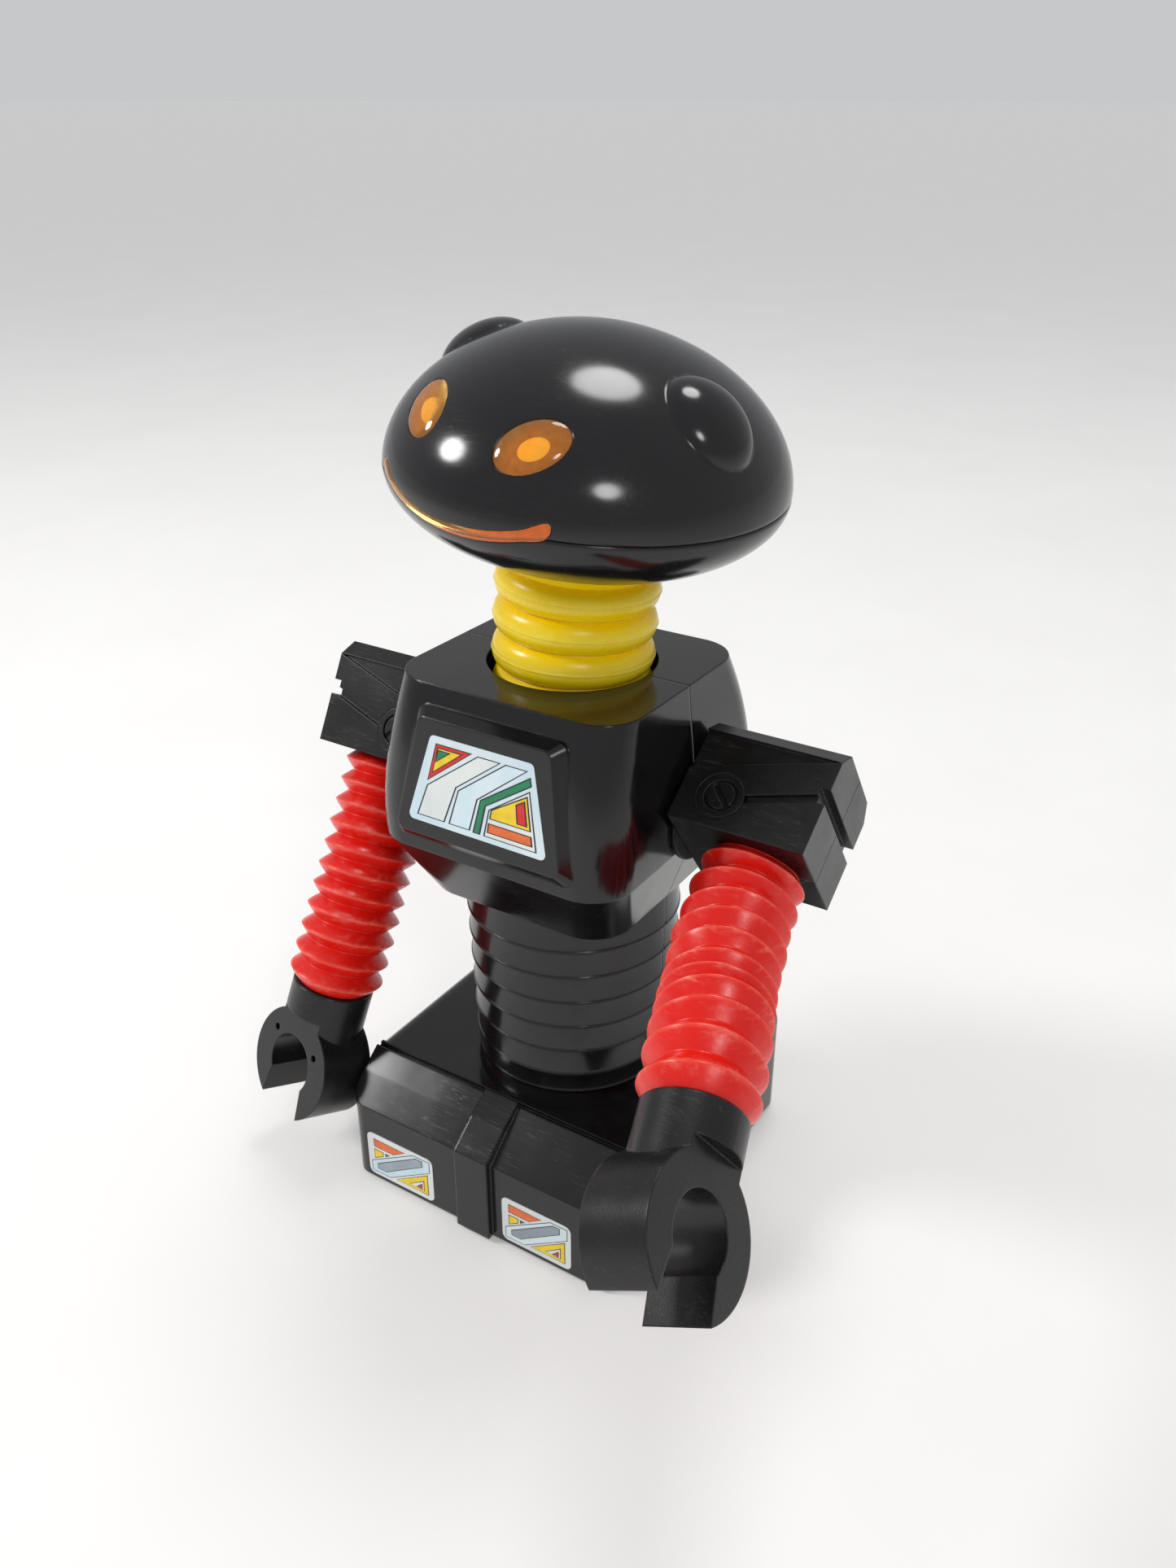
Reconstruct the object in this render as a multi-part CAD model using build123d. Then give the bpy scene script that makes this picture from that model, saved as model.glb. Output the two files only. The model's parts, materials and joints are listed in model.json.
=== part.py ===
from build123d import *
from math import cos, pi, radians, sin, sqrt
import os

# Toy robot in millimetres. It faces -Y, its left is +X, the floor is z = 0 and the
# origin lies on the floor under the centre of the round waist.

# Fits shared by every piece
WALL = 2.2              # shell wall
SEAM = 0.15             # open line between two shell halves
FIT = 0.05              # radial clearance of a turning shaft
TOUCH = 0.1             # air between pieces that pass each other

# Base
SKIRT = 1.5             # height of the skirt above the floor
DECK_TOP = 39.5
DECK_HALF = 49.5
DECK_REAR = 49.0
DECK_ROUND = 5.5
BUMPER_HALF = 47.5
BUMPER_FRONT = -53.3
BUMPER_PROFILE = [(BUMPER_FRONT, 28.1), (-45.35, 34.6), (-38.9, DECK_TOP)]
BUMPER_BACK = -36.0
GROOVE_WIDTH = 1.6
GROOVE_DEPTH = 1.0
NOSE_HALF = 5.8
NOSE_PROUD = 2.0
PLATE = 1.8             # base plate thickness
STICKER = 0.2
BUMPER_STICKERS = {"right": (-41.0, -15.8), "left": (9.6, 33.4)}
BUMPER_STICKER_Z = (3.0, 19.2)

# Drive train
DRIVE_R = 14.0
DRIVE_Y = 24.0
DRIVE_X = (32.0, 40.0)
FRONT_R = 9.0
FRONT_Y = -34.0
FRONT_X = (21.0, 27.0)
AXLE_R = 1.5
MODULE = 0.8
AXLE_TEETH = 22
IDLER_TEETH = 20
PINION_TEETH = 10
GEAR_X = (28.2, 30.7)
FRAME_X = (26.2, 27.8)
IDLER_ANGLE = 150.0     # direction from the drive axle to the idler, from +Y towards +Z
PINION_ANGLE = 155.0    # direction from the idler to the motor pinion
MOTOR_R = 8.4
MOTOR_X = (1.0, 26.1)
CELL_R = 7.1
CELL_HALF = 25.2
CELL_Y = (-14.2, 0.9)
CELL_Z = 11.4
DOOR_HALF = 24.0
DOOR_Y = (-22.0, 8.0)

# Waist drum
WAIST_TOP_R = 31.0
WAIST_LEDGES = [89.7, 81.0, 72.2, 63.5, 54.8, 46.1]
LEDGE = 0.6
FLARE = 0.27            # how much each band widens towards its lower edge
WAIST_TOP = 99.8
SPIGOT_R = 29.5
SPIGOT_TOP = 108.0

# Torso: height, half width, front, rear
TORSO = [(165.0, 36.0, 34.7, 31.2), (150.0, 37.6, 39.5, 38.0), (135.0, 39.0, 42.3, 41.0),
         (120.0, 38.5, 43.5, 41.0), (100.0, 31.6, 32.0, 31.6)]
TORSO_CORNER = 12.0
NECK_HOLE_R = 23.3
CHEST_TOP = (-41.2, 158.2)      # y, z of two points of the chest plane
CHEST_LOW = (-46.2, 128.5)
CHEST_PLATEAU = (20.5, 26.0, 15.4, -16.6)   # half widths top and bottom, top and bottom ends
CHEST_OUTLINE = (23.0, 28.5, 17.6, -19.8)
CHEST_PROUD = 3.2
CHEST_STICKER = (16.0, 22.0, 11.4, -12.8)

# Shoulders
PIVOT_Z = 128.8
BLOCK_X = (40.2, 78.0)
BLOCK_HALF = 17.0
BLOCK_LOW = -9.5
BLOCK_EDGE = 17.0
BLOCK_TOP = 21.5
BLOCK_TOP_HALF = 12.5
BLOCK_WALL = 2.5
END_WALL = 5.0
ARM_X = 61.9
SHAFT_R = 8.0
SHAFT_END = (47.5, 57.5)     # where the shaft narrows and where it stops
SHAFT_END_R = 4.9
HUB_R = 13.0
PIN_X = 51.65
PIN_W = -0.4
PIN_R = 6.3
BAND_SLOPE = 17.5
SLOT_W = (4.8, 9.1)
SWING = {"right": 28.4, "left": 53.0}

# Bellows
ARM_CREST = 14.4
ARM_VALLEY = 11.2
ARM_BORE = 10.2
ARM_CUFF = 11.5
ARM_LOBES = 11
NECK_CREST = 22.4
NECK_VALLEY = 19.0
NECK_BORE = 17.6
NECK_LOBES = 5
NECK_START = 154.2
CUP_R = 26.5

# Wrists and claws
WRIST = {"right": (-62.9, -38.9, 57.4), "left": (83.5, -80.0, 104.4)}
CLAW_ALONG = {"right": (-0.142, -0.325, -0.935), "left": (0.256, -0.878, -0.404)}
CLAW_BORE = {"right": (-0.207, -0.914, 0.349), "left": (0.874, 0.032, 0.484)}
COLLAR_R = 12.4
COLLAR_END = 9.6
RING_AT = 27.65
RING_R = 17.5
RING_BORE = 9.25
RING_HALF = 8.7
GAP_INNER = 7.0
GAP_OUTER = 9.5
PEG_R = 1.1
PEG_AT = (-7.4, 9.9)
SPINDLE_R = 5.0
SPINDLE_LENGTH = 8.0

# Head, about its own centre line
HEAD_ORIGIN = (5.4, 7.1, 216.6)
HEAD_TURNED = -9.0
HEAD_TILT = 7.0
HEAD_FORWARD = 6.0
HEAD_R = 51.45
DOME = 35.4
DOME_POWER = 1.9
BOWL = 22.0
BOWL_CUT = 15.8
PLUG_R = 14.0
NECK_DROP = 16.2        # from the rim plane down to the end of the bellows
EYE_ANGLE = 22.8        # from straight ahead, seen from above
EYE_Z = 17.8
EYE_HALF = (9.5, 5.75)
EYE_SLANT = 22.0
MOUTH_ANGLE = 30.0
MOUTH_LOW = -3.3
MOUTH_RISE = 4.9
MOUTH_HALF = 1.3
EAR_ANGLE = 86.0
EAR_Z = 23.2
EAR_HALF = (13.0, 11.0)
EAR_PROUD = 5.0

SCREW_R = 1.2
SCREW_HEAD = 2.6


def box(x, y, z):
    return Pos(sum(x) / 2, sum(y) / 2, sum(z) / 2) * Box(x[1] - x[0], y[1] - y[0], z[1] - z[0])


def rod_x(x, y, z, r):
    return Pos(sum(x) / 2, y, z) * Rot(0, 90, 0) * Cylinder(r, x[1] - x[0])


def rod_y(x, y, z, r):
    return Pos(x, sum(y) / 2, z) * Rot(90, 0, 0) * Cylinder(r, y[1] - y[0])


def rod_z(x, y, z, r):
    return Pos(x, y, sum(z) / 2) * Cylinder(r, z[1] - z[0])


def mirrored(low_high, sign):
    return tuple(sorted(sign * v for v in low_high))


def side_sign(side):
    return 1 if side == "left" else -1


def export(shape, name):
    export_step(shape, "parts/" + name + ".step")


def joined(pieces):
    return Compound(children=list(pieces))


# Base -----------------------------------------------------------------------------

def side_prism(points, half):
    face = make_face(Plane.YZ * Polyline(*points, close=True))
    return extrude(face, amount=half, both=True)


def deck_body(inset, bottom):
    half = DECK_HALF - inset
    body = box((-half, half), (BUMPER_BACK - 3, DECK_REAR - inset), (bottom, DECK_TOP - inset))
    body = fillet(body.edges().filter_by(Axis.Z).group_by(Axis.Y)[-1], DECK_ROUND + 1 - inset)
    rails = body.edges().filter_by(Axis.Y).group_by(Axis.Z)[-1]
    return fillet(rails, DECK_ROUND - inset)


def bumper_body(inset, bottom):
    (y0, z0), (y1, z1), (y2, z2) = BUMPER_PROFILE
    points = [(y0 + inset, bottom), (y0 + inset, z0 - inset / 2), (y1 + inset * 0.7, z1 - inset * 0.7),
              (y2 + inset / 2, z2 - inset), (BUMPER_BACK, z2 - inset), (BUMPER_BACK, bottom)]
    body = side_prism(points, BUMPER_HALF - inset)
    corners = body.edges().filter_by(Axis.Z).group_by(Axis.Y)[0]
    return fillet(corners, DECK_ROUND - inset)


def base_shell():
    shell = deck_body(0, SKIRT) + bumper_body(0, SKIRT) + nose()
    shell -= deck_body(WALL, SKIRT - 1) + bumper_body(WALL, SKIRT - 1)
    groove = (BUMPER_PROFILE[-1][0] + 0.3, BUMPER_PROFILE[-1][0] + 0.3 + GROOVE_WIDTH)
    shell -= box((-60, 60), groove, (DECK_TOP - GROOVE_DEPTH, DECK_TOP + 3))
    ring = rod_z(0, 0, (DECK_TOP - 0.5, DECK_TOP + 4), 26.4) - rod_z(0, 0, (DECK_TOP - 1, DECK_TOP + 5), 24.4)
    shell += ring
    filling = deck_body(0.3, SKIRT) + bumper_body(0.3, SKIRT)
    for x, y in screw_places():
        shell += rod_z(x, y, (SKIRT + PLATE + 0.4, DECK_TOP), 3.4) & filling
        shell -= rod_z(x, y, (0, 16), SCREW_R + FIT)
    shell -= switch_slot()
    return shell


def nose():
    (y0, z0), (y1, z1), (y2, z2) = BUMPER_PROFILE
    out = NOSE_PROUD
    points = [(y0 - out, SKIRT), (y0 - out, z0 + out), (y1 - out / 2, z1 + out), (y2, z2 + out * 0.8),
              (y2 + 1.4, z2 + out * 0.8), (y2 + 1.4, z2 - 1), (y0 + 1, z0 - 1), (y0 + 1, SKIRT)]
    return side_prism(points, NOSE_HALF)


def screw_places():
    return [(sx * 42.0, y) for sx in (-1, 1) for y in (-44.0, 43.0)]


def wheel_openings(margin):
    cuts = []
    for sign in (-1, 1):
        drive = mirrored((DRIVE_X[0] - margin, DRIVE_X[1] + margin), sign)
        front = mirrored((FRONT_X[0] - margin, FRONT_X[1] + margin), sign)
        cuts.append(box(drive, (DRIVE_Y - 11.5, DRIVE_Y + 11.5), (0, 6)))
        cuts.append(box(front, (FRONT_Y - 8.5, FRONT_Y + 8.5), (0, 6)))
    return cuts


def bearing(x, y, z, width):
    """Upright rib with a round hole for an axle."""
    rib = box(x, (y - width, y + width), (SKIRT + PLATE - 0.2, z)) + rod_x(x, y, z, width)
    return rib - rod_x((x[0] - 1, x[1] + 1), y, z, AXLE_R + FIT)


def base_plate():
    z = (SKIRT, SKIRT + PLATE)
    half = DECK_HALF - WALL - TOUCH
    plate = box((-half, half), (BUMPER_BACK, DECK_REAR - WALL - TOUCH), z)
    plate = fillet(plate.edges().filter_by(Axis.Z).group_by(Axis.Y)[-1], DECK_ROUND + 1 - WALL)
    front_half = BUMPER_HALF - WALL - TOUCH
    front = box((-front_half, front_half), (BUMPER_FRONT + WALL + TOUCH, BUMPER_BACK), z)
    plate += fillet(front.edges().filter_by(Axis.Z).group_by(Axis.Y)[0], DECK_ROUND - WALL)
    for cut in wheel_openings(1.0):
        plate -= cut
    plate += bearing((-30.0, -27.5), DRIVE_Y, DRIVE_R, 4.0)
    for sign in (-1, 1):
        plate += bearing(mirrored((15.0, 17.5), sign), FRONT_Y, FRONT_R, 3.6)
    plate -= box((-DOOR_HALF, DOOR_HALF), DOOR_Y, (0, 6))
    for x, y in screw_places():
        plate -= rod_z(x, y, (0, 8), SCREW_R + FIT)
        plate -= rod_z(x, y, (0, SKIRT + 1.2), SCREW_HEAD + 0.1)
    return plate


def base_screws():
    head = (SKIRT + 0.1, SKIRT + 1.2)
    shank = (SKIRT + 1.2, 14)
    return joined(rod_z(x, y, head, SCREW_HEAD) + rod_z(x, y, shank, SCREW_R) for x, y in screw_places())


def bumper_sticker(side):
    x = BUMPER_STICKERS[side]
    return box(x, (BUMPER_FRONT - STICKER, BUMPER_FRONT), BUMPER_STICKER_Z)


def battery_door():
    door = box((-DOOR_HALF + TOUCH, DOOR_HALF - TOUCH), (DOOR_Y[0] + TOUCH, DOOR_Y[1] - TOUCH),
               (SKIRT + 0.1, SKIRT + PLATE - 0.1))
    for k in range(4):
        y = -6.0 + 3.0 * k
        door -= box((-8, 8), (y, y + 1.2), (SKIRT, SKIRT + 0.7))
    return door


def batteries():
    cells = []
    for y, sign in zip(CELL_Y, (1, -1)):
        can = rod_x((-CELL_HALF, CELL_HALF - 1.2), y, CELL_Z, CELL_R)
        can += rod_x((CELL_HALF - 1.2, CELL_HALF), y, CELL_Z, 2.7)
        cells.append(can if sign > 0 else Pos(0, 2 * y, 0) * Rot(0, 0, 180) * can)
    return joined(cells)


def battery_contacts():
    out = []
    for sign in (-1, 1):
        x = mirrored((CELL_HALF + 0.05, CELL_HALF + 0.55), sign)
        for y in CELL_Y:
            out.append(box(x, (y - 5, y + 5), (SKIRT + PLATE + 0.2, CELL_Z + 5)))
    return joined(out)


def switch_slot():
    return box((-8.0, 8.0), (DECK_REAR - WALL - 1, DECK_REAR + 1), (20.0, 25.0))


def power_switch():
    knob = box((-6.9, -1.9), (DECK_REAR - WALL - 0.5, DECK_REAR + 1.8), (20.2, 24.8))
    for k in range(3):
        x = -6.2 + 1.4 * k
        knob -= box((x, x + 0.6), (DECK_REAR + 1.3, DECK_REAR + 2), (20, 25))
    return knob + box((-10.5, 1.7), (DECK_REAR - WALL - 2.5, DECK_REAR - WALL - 0.1), (18.5, 26.5))


# Drive train ----------------------------------------------------------------------

def polar(centre, distance, angle):
    a = radians(angle)
    return centre[0] + distance * cos(a), centre[1] + distance * sin(a)


def pitch_r(teeth):
    return MODULE * teeth / 2


AXLE_AT = (DRIVE_Y, DRIVE_R)
IDLER_AT = polar(AXLE_AT, pitch_r(AXLE_TEETH + IDLER_TEETH), IDLER_ANGLE)
PINION_AT = polar(IDLER_AT, pitch_r(IDLER_TEETH + PINION_TEETH), PINION_ANGLE)


def gear(teeth, centre, first_tooth, bore):
    """Spur gear across X; first_tooth is the direction of one tooth's centre line."""
    root = pitch_r(teeth) - 1.2 * MODULE
    tip = pitch_r(teeth) + 0.85 * MODULE
    step = 360 / teeth
    points = []
    for k in range(teeth):
        angle = first_tooth + k * step
        for r, share in ((root, -0.29), (tip, -0.10), (tip, 0.10), (root, 0.29)):
            points.append(polar(centre, r, angle + share * step))
    blank = extrude(make_face(Plane.YZ * Polyline(*points, close=True)), amount=GEAR_X[1] - GEAR_X[0])
    return Pos(GEAR_X[0], 0, 0) * blank - rod_x((GEAR_X[0] - 1, GEAR_X[1] + 1), *centre, bore)


def idler_phase():
    return IDLER_ANGLE + 180 + 180 / IDLER_TEETH


def pinion_phase():
    step = 360 / IDLER_TEETH
    behind = (PINION_ANGLE - idler_phase()) % step
    return PINION_ANGLE + 180 + behind * IDLER_TEETH / PINION_TEETH + 180 / PINION_TEETH


def axle_gear():
    return gear(AXLE_TEETH, AXLE_AT, IDLER_ANGLE, AXLE_R)


def idler_gear():
    wheel = gear(IDLER_TEETH, IDLER_AT, idler_phase(), 0.9)
    return wheel + rod_x((FRAME_X[0] - 0.4, GEAR_X[1]), *IDLER_AT, 1.2)


def motor_pinion():
    return gear(PINION_TEETH, PINION_AT, pinion_phase(), 1.0) + motor_shaft()


def motor_shaft():
    return rod_x((MOTOR_X[1] + TOUCH, GEAR_X[1] + 0.3), *PINION_AT, 1.0)


def motor():
    y, z = PINION_AT
    can = rod_x(MOTOR_X, y, z, MOTOR_R)
    flat = MOTOR_R - 1.2
    can &= box((MOTOR_X[0] - 1, MOTOR_X[1] + 1), (y - MOTOR_R, y + MOTOR_R), (z - flat, z + flat))
    return can + rod_x((MOTOR_X[0] - 1.5, MOTOR_X[0]), y, z, 3.0)


def gearbox_frame():
    y = (PINION_AT[0] - 6, DRIVE_Y + 5)
    plate = box(FRAME_X, y, (SKIRT + PLATE, 36.5))
    plate += box((18.0, FRAME_X[1]), (10.5, DRIVE_Y + 5), (SKIRT + PLATE, SKIRT + PLATE + 1.6))
    grown = (FRAME_X[0] - 1, FRAME_X[1] + 1)
    plate -= rod_x(grown, *AXLE_AT, AXLE_R + FIT)
    plate -= rod_x(grown, *IDLER_AT, 1.2 + FIT)
    plate -= rod_x(grown, *PINION_AT, 1.0 + FIT)
    return plate


def drive_axle():
    return rod_x((-DRIVE_X[1] - 0.8, DRIVE_X[1] + 0.8), *AXLE_AT, AXLE_R)


def front_axle():
    return rod_x((-FRONT_X[1] - 0.8, FRONT_X[1] + 0.8), FRONT_Y, FRONT_R, AXLE_R)


def wheel(x, y, r):
    disc = rod_x(x, y, r, r)
    disc = chamfer(disc.edges().filter_by(GeomType.CIRCLE), 0.8)
    disc -= rod_x((x[0] - 1, x[1] + 1), y, r, AXLE_R)
    middle = sum(x) / 2
    face = x[1] if middle > 0 else x[0]
    recess = tuple(sorted((face, face - (2.0 if middle > 0 else -2.0))))
    return disc - (rod_x(recess, y, r, r * 0.72) - rod_x(recess, y, r, 3.5))


# Waist ----------------------------------------------------------------------------

def waist_drum():
    edges = [WAIST_TOP] + WAIST_LEDGES + [DECK_TOP + 0.1]
    radius = WAIST_TOP_R
    points = [(SPIGOT_R - WALL, SPIGOT_TOP), (SPIGOT_R, SPIGOT_TOP), (SPIGOT_R, WAIST_TOP)]
    for upper, lower in zip(edges, edges[1:]):
        points.append((radius, upper))
        points.append((radius + FLARE, lower))
        radius += FLARE - LEDGE
    inner = radius - WALL
    points.append((inner, edges[-1]))
    outline = make_face(Plane.XZ * Polyline(*points, close=True))
    return revolve(outline, Axis.Z)


def front_half(shape):
    return shape & box((-90, 90), (-90, -SEAM / 2), (0, 300))


def rear_half(shape):
    return shape & box((-90, 90), (SEAM / 2, 90), (0, 300))


# Torso ----------------------------------------------------------------------------

def torso_section(z, half, front, rear, inset):
    width = 2 * (half - inset)
    depth = front + rear - 2 * inset
    outline = RectangleRounded(width, depth, TORSO_CORNER - inset)
    return Pos(0, (rear - front) / 2, z) * outline


def torso_body(inset):
    sections = [list(s) for s in TORSO]
    sections[0][0] -= inset
    sections[-1][0] += inset
    faces = [torso_section(*s, inset) for s in sections]
    return loft(faces[3::-1], ruled=False) + loft(faces[:2:-1], ruled=True)


def chest_plane():
    (y1, z1), (y0, z0) = CHEST_TOP, CHEST_LOW
    along = (y1 - y0, z1 - z0)
    return Plane(origin=(0, (y0 + y1) / 2, (z0 + z1) / 2), x_dir=(1, 0, 0), z_dir=(0, -along[1], along[0]))


def chest_outline(sizes, height, corner):
    top_half, low_half, top, low = sizes
    points = [(-low_half, low), (low_half, low), (top_half, top), (-top_half, top)]
    face = make_face(Polyline(*points, close=True))
    face = fillet(face.vertices(), corner)
    return chest_plane() * Pos(0, 0, height) * face


def chest_frame():
    wedge = loft([chest_outline(CHEST_OUTLINE, -CHEST_PROUD, 3.0), chest_outline(CHEST_PLATEAU, 0, 2.5)], ruled=True)
    root = extrude(chest_outline(CHEST_OUTLINE, -CHEST_PROUD, 3.0), amount=-6)
    return wedge + root


def chest_sticker():
    return extrude(chest_outline(CHEST_STICKER, 0, 1.5), amount=STICKER)


def torso_shell():
    cavity = torso_body(WALL)
    shell = torso_body(0) + (chest_frame() - cavity) - cavity
    shell -= rod_z(0, 0, (155, 170), NECK_HOLE_R)
    shell -= rod_z(0, 0, (95, 105), SPIGOT_R + FIT)
    shell -= rod_x((-60, 60), 0, PIVOT_Z, SHAFT_R + FIT)
    return shell


def torso_screw_places():
    return [(sign * x, z) for sign in (-1, 1) for x, z in ((27.0, 143.5), (26.0, 112.5))]


def torso_front():
    half = front_half(torso_shell())
    filling = torso_body(0.4)
    for x, z in torso_screw_places():
        half += rod_y(x, (-60.0, -SEAM / 2), z, 3.4) & filling
        half -= rod_y(x, (-14.0, 1.0), z, SCREW_R + FIT)
    return half


def torso_rear():
    half = rear_half(torso_shell())
    filling = torso_body(0.4)
    for x, z in torso_screw_places():
        half += rod_y(x, (SEAM / 2, 60.0), z, 3.8) & filling
        half -= rod_y(x, (-1.0, 60.0), z, SCREW_R + FIT)
        half -= rod_y(x, (16.0, 60.0), z, SCREW_HEAD + 0.1)
    return half


def torso_screws():
    return joined(rod_y(x, (16.0, 17.4), z, SCREW_HEAD - 0.2) + rod_y(x, (-12.0, 16.0), z, SCREW_R)
                  for x, z in torso_screw_places())


# Shoulders and arms ---------------------------------------------------------------

def block_frame(side):
    """X outwards for the left side, Y to the front of the block, Z up along the arm."""
    return Pos(0, 0, PIVOT_Z) * Rot(-SWING[side], 0, 0)


def across(x, side):
    return mirrored(x, side_sign(side))


def block_prism(x, inset):
    low, top = BLOCK_LOW + inset, BLOCK_TOP - inset
    half, narrow = BLOCK_HALF - inset, BLOCK_TOP_HALF - inset / 2
    edge = BLOCK_EDGE - inset / 2
    points = [(-half, low), (half, low), (half, edge), (narrow, top), (-narrow, top), (-half, edge)]
    face = make_face(Plane.YZ * Polyline(*points, close=True))
    return Pos(x[0], 0, 0) * extrude(face, amount=x[1] - x[0])


def block_face_cuts(sign):
    """Groove under the band and the recessed triangle above it, on the faces at y = -17 and 17."""
    rise = sin(radians(BAND_SLOPE)) / cos(radians(BAND_SLOPE))
    inner, outer = PIN_X - 2, BLOCK_X[1] + 1
    groove_out = sum(SLOT_W) / 2
    cuts = []
    for face in (-1, 1):
        y = face * BLOCK_HALF
        low = groove_out - rise * (outer - inner)
        groove = [(inner, low - 1.2), (outer, groove_out - 1.2), (outer, groove_out + 1.2), (inner, low + 1.2)]
        band_in = BLOCK_EDGE - rise * (BLOCK_X[1] - BLOCK_X[0])
        triangle = [(BLOCK_X[0] - 1, band_in), (BLOCK_X[1], BLOCK_EDGE), (BLOCK_X[0] - 1, BLOCK_EDGE)]
        for points, depth in ((groove, 1.5), (triangle, 1.1)):
            outline = make_face(Plane.XZ * Polyline(*[(sign * x, w) for x, w in points], close=True))
            cuts.append(Pos(0, y, 0) * extrude(outline, amount=depth, both=True))
    return cuts


def shoulder_block(side):
    sign = side_sign(side)
    block = block_prism(across(BLOCK_X, side), 0)
    block -= block_prism(across((BLOCK_X[0] + BLOCK_WALL, BLOCK_X[1] - END_WALL), side), BLOCK_WALL)
    block += rod_y(sign * PIN_X, (-BLOCK_HALF, BLOCK_HALF), PIN_W, 8.0)
    block += rod_x(across((BLOCK_X[0], BLOCK_X[0] + 18), side), 0, 0, SHAFT_R + 2.5) & block_prism(across(BLOCK_X, side), 0)
    for cut in block_face_cuts(sign):
        block -= cut
    block -= box(across((BLOCK_X[1] - 2.5, BLOCK_X[1] + 1), side), (-30, 30), SLOT_W)
    block -= rod_x(across((BLOCK_X[0] - 1, SHAFT_END[0] + TOUCH), side), 0, 0, SHAFT_R + FIT)
    block -= rod_x(across((SHAFT_END[0], SHAFT_END[1] + TOUCH), side), 0, 0, SHAFT_END_R + FIT)
    block -= rod_z(sign * ARM_X, 0, (BLOCK_LOW - 1, BLOCK_LOW + BLOCK_WALL + 0.1), ARM_CUFF + TOUCH)
    block -= rod_y(sign * PIN_X, (-30, -BLOCK_HALF + 3.2), PIN_W, PIN_R + TOUCH)
    block -= rod_y(sign * PIN_X, (-30, 8), PIN_W, 2.0 + FIT)
    block -= rod_z(sign * ARM_X, 0, (BLOCK_LOW + BLOCK_WALL - 0.1, BLOCK_LOW + BLOCK_WALL + 1.6), 13.2)
    return block


def shoulder_half(side, front):
    y = (-40, -SEAM / 2) if front else (SEAM / 2, 40)
    return block_frame(side) * (shoulder_block(side) & box((-90, 90), y, (-40, 40)))


def shoulder_pin(side):
    sign = side_sign(side)
    face = -BLOCK_HALF
    pin = rod_y(sign * PIN_X, (face, face + 3.2), PIN_W, PIN_R)
    pin -= rod_y(sign * PIN_X, (face - 1, face + 0.8), PIN_W, 4.4) - rod_y(sign * PIN_X, (face - 1, face + 0.8), PIN_W, 3.8)
    slot = Pos(sign * PIN_X, face, PIN_W) * Rot(0, 45 * sign, 0) * Box(8.4, 2.0, 1.3)
    return block_frame(side) * (pin - slot + rod_y(sign * PIN_X, (face + 3.2, 7.0), PIN_W, 2.0))


def shoulder_shaft(side):
    shaft = rod_x(across((33.0, SHAFT_END[0]), side), 0, 0, SHAFT_R)
    shaft += rod_x(across(SHAFT_END, side), 0, 0, SHAFT_END_R)
    shaft += rod_x(across((39.2, BLOCK_X[0] - TOUCH), side), 0, 0, HUB_R)
    shaft += rod_x(across((33.0, 35.2), side), 0, 0, SHAFT_R + 2.5)
    shaft -= rod_y(side_sign(side) * PIN_X, (-30, 8), PIN_W, 2.0 + FIT)
    return block_frame(side) * shaft


def arm_direction(side):
    a = radians(SWING[side])
    return Vector(0, -sin(a), -cos(a))


def bend(start, leave, end, arrive):
    reach = (end - start).length / 3
    return Bezier(start, start + leave * reach, end - arrive * reach, end)


def arm_path(side):
    """Centre line from the block's underside to the wrist."""
    leave = arm_direction(side)
    pivot = Vector(side_sign(side) * ARM_X, 0, PIVOT_Z)
    start = pivot + leave * -BLOCK_LOW
    end = Vector(*WRIST[side])
    return bend(start, leave, end, Vector(*CLAW_ALONG[side]).normalized())


def neck_path():
    top = neck_top()
    return bend(Vector(0, 0, NECK_START), Vector(0, 0, 1), top.origin, top.z_dir)


def lobe(valley, crest, pitch, rounded):
    """One fold, with a sharp crest or one blunted by two more facets."""
    full = crest - 0.15 * (crest - valley)
    shoulder = [(full, -pitch * 0.24), (crest, 0), (full, pitch * 0.24)] if rounded else [(crest, 0)]
    half = pitch / 2
    outline = [(0, -half), (valley, -half), *shoulder, (valley, half), (0, half)]
    return revolve(make_face(Plane.XZ * Polyline(*outline, close=True)), Axis.Z)


def bellows(path, lobes, valley, crest, bore, rounded):
    pitch = path.length / lobes
    body = sweep(path.location_at(0) * Circle(valley), path=path)
    ring = lobe(valley - 0.15, crest, pitch * 0.97, rounded)
    for k in range(lobes):
        body += path.location_at((k + 0.5) * pitch, PositionMode.LENGTH) * ring
    for end, away in ((0, -1), (1, 1)):
        body -= path.location_at(end) * Pos(0, 0, away * crest) * Cylinder(crest + 5, 2 * crest)
    return body - sweep(path.location_at(0) * Circle(bore), path=path)


def arm_bellows(side):
    path = arm_path(side)
    body = bellows(path, ARM_LOBES, ARM_VALLEY, ARM_CREST, ARM_BORE, False)
    sign = side_sign(side)
    low = BLOCK_LOW + BLOCK_WALL
    cuff = rod_z(sign * ARM_X, 0, (BLOCK_LOW, low + 0.1), ARM_CUFF)
    cuff += rod_z(sign * ARM_X, 0, (low + 0.1, low + 1.4), 13.0)
    cuff -= rod_z(sign * ARM_X, 0, (BLOCK_LOW - 1, low + 2), ARM_BORE)
    return body + block_frame(side) * cuff


def neck_top():
    frame = head_frame() * Pos(0, -HEAD_FORWARD, -NECK_DROP)
    return Plane(frame)


def neck_bellows():
    body = bellows(neck_path(), NECK_LOBES, NECK_VALLEY, NECK_CREST, NECK_BORE - 1.4, True)
    cuff = rod_z(0, 0, (NECK_START - 3.6, NECK_START), NECK_BORE)
    cuff += rod_z(0, 0, (NECK_START - 4.4, NECK_START - 2.4), NECK_BORE + 2)
    return body + (cuff - rod_z(0, 0, (NECK_START - 6, NECK_START + 2), NECK_BORE - 1.6))


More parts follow.
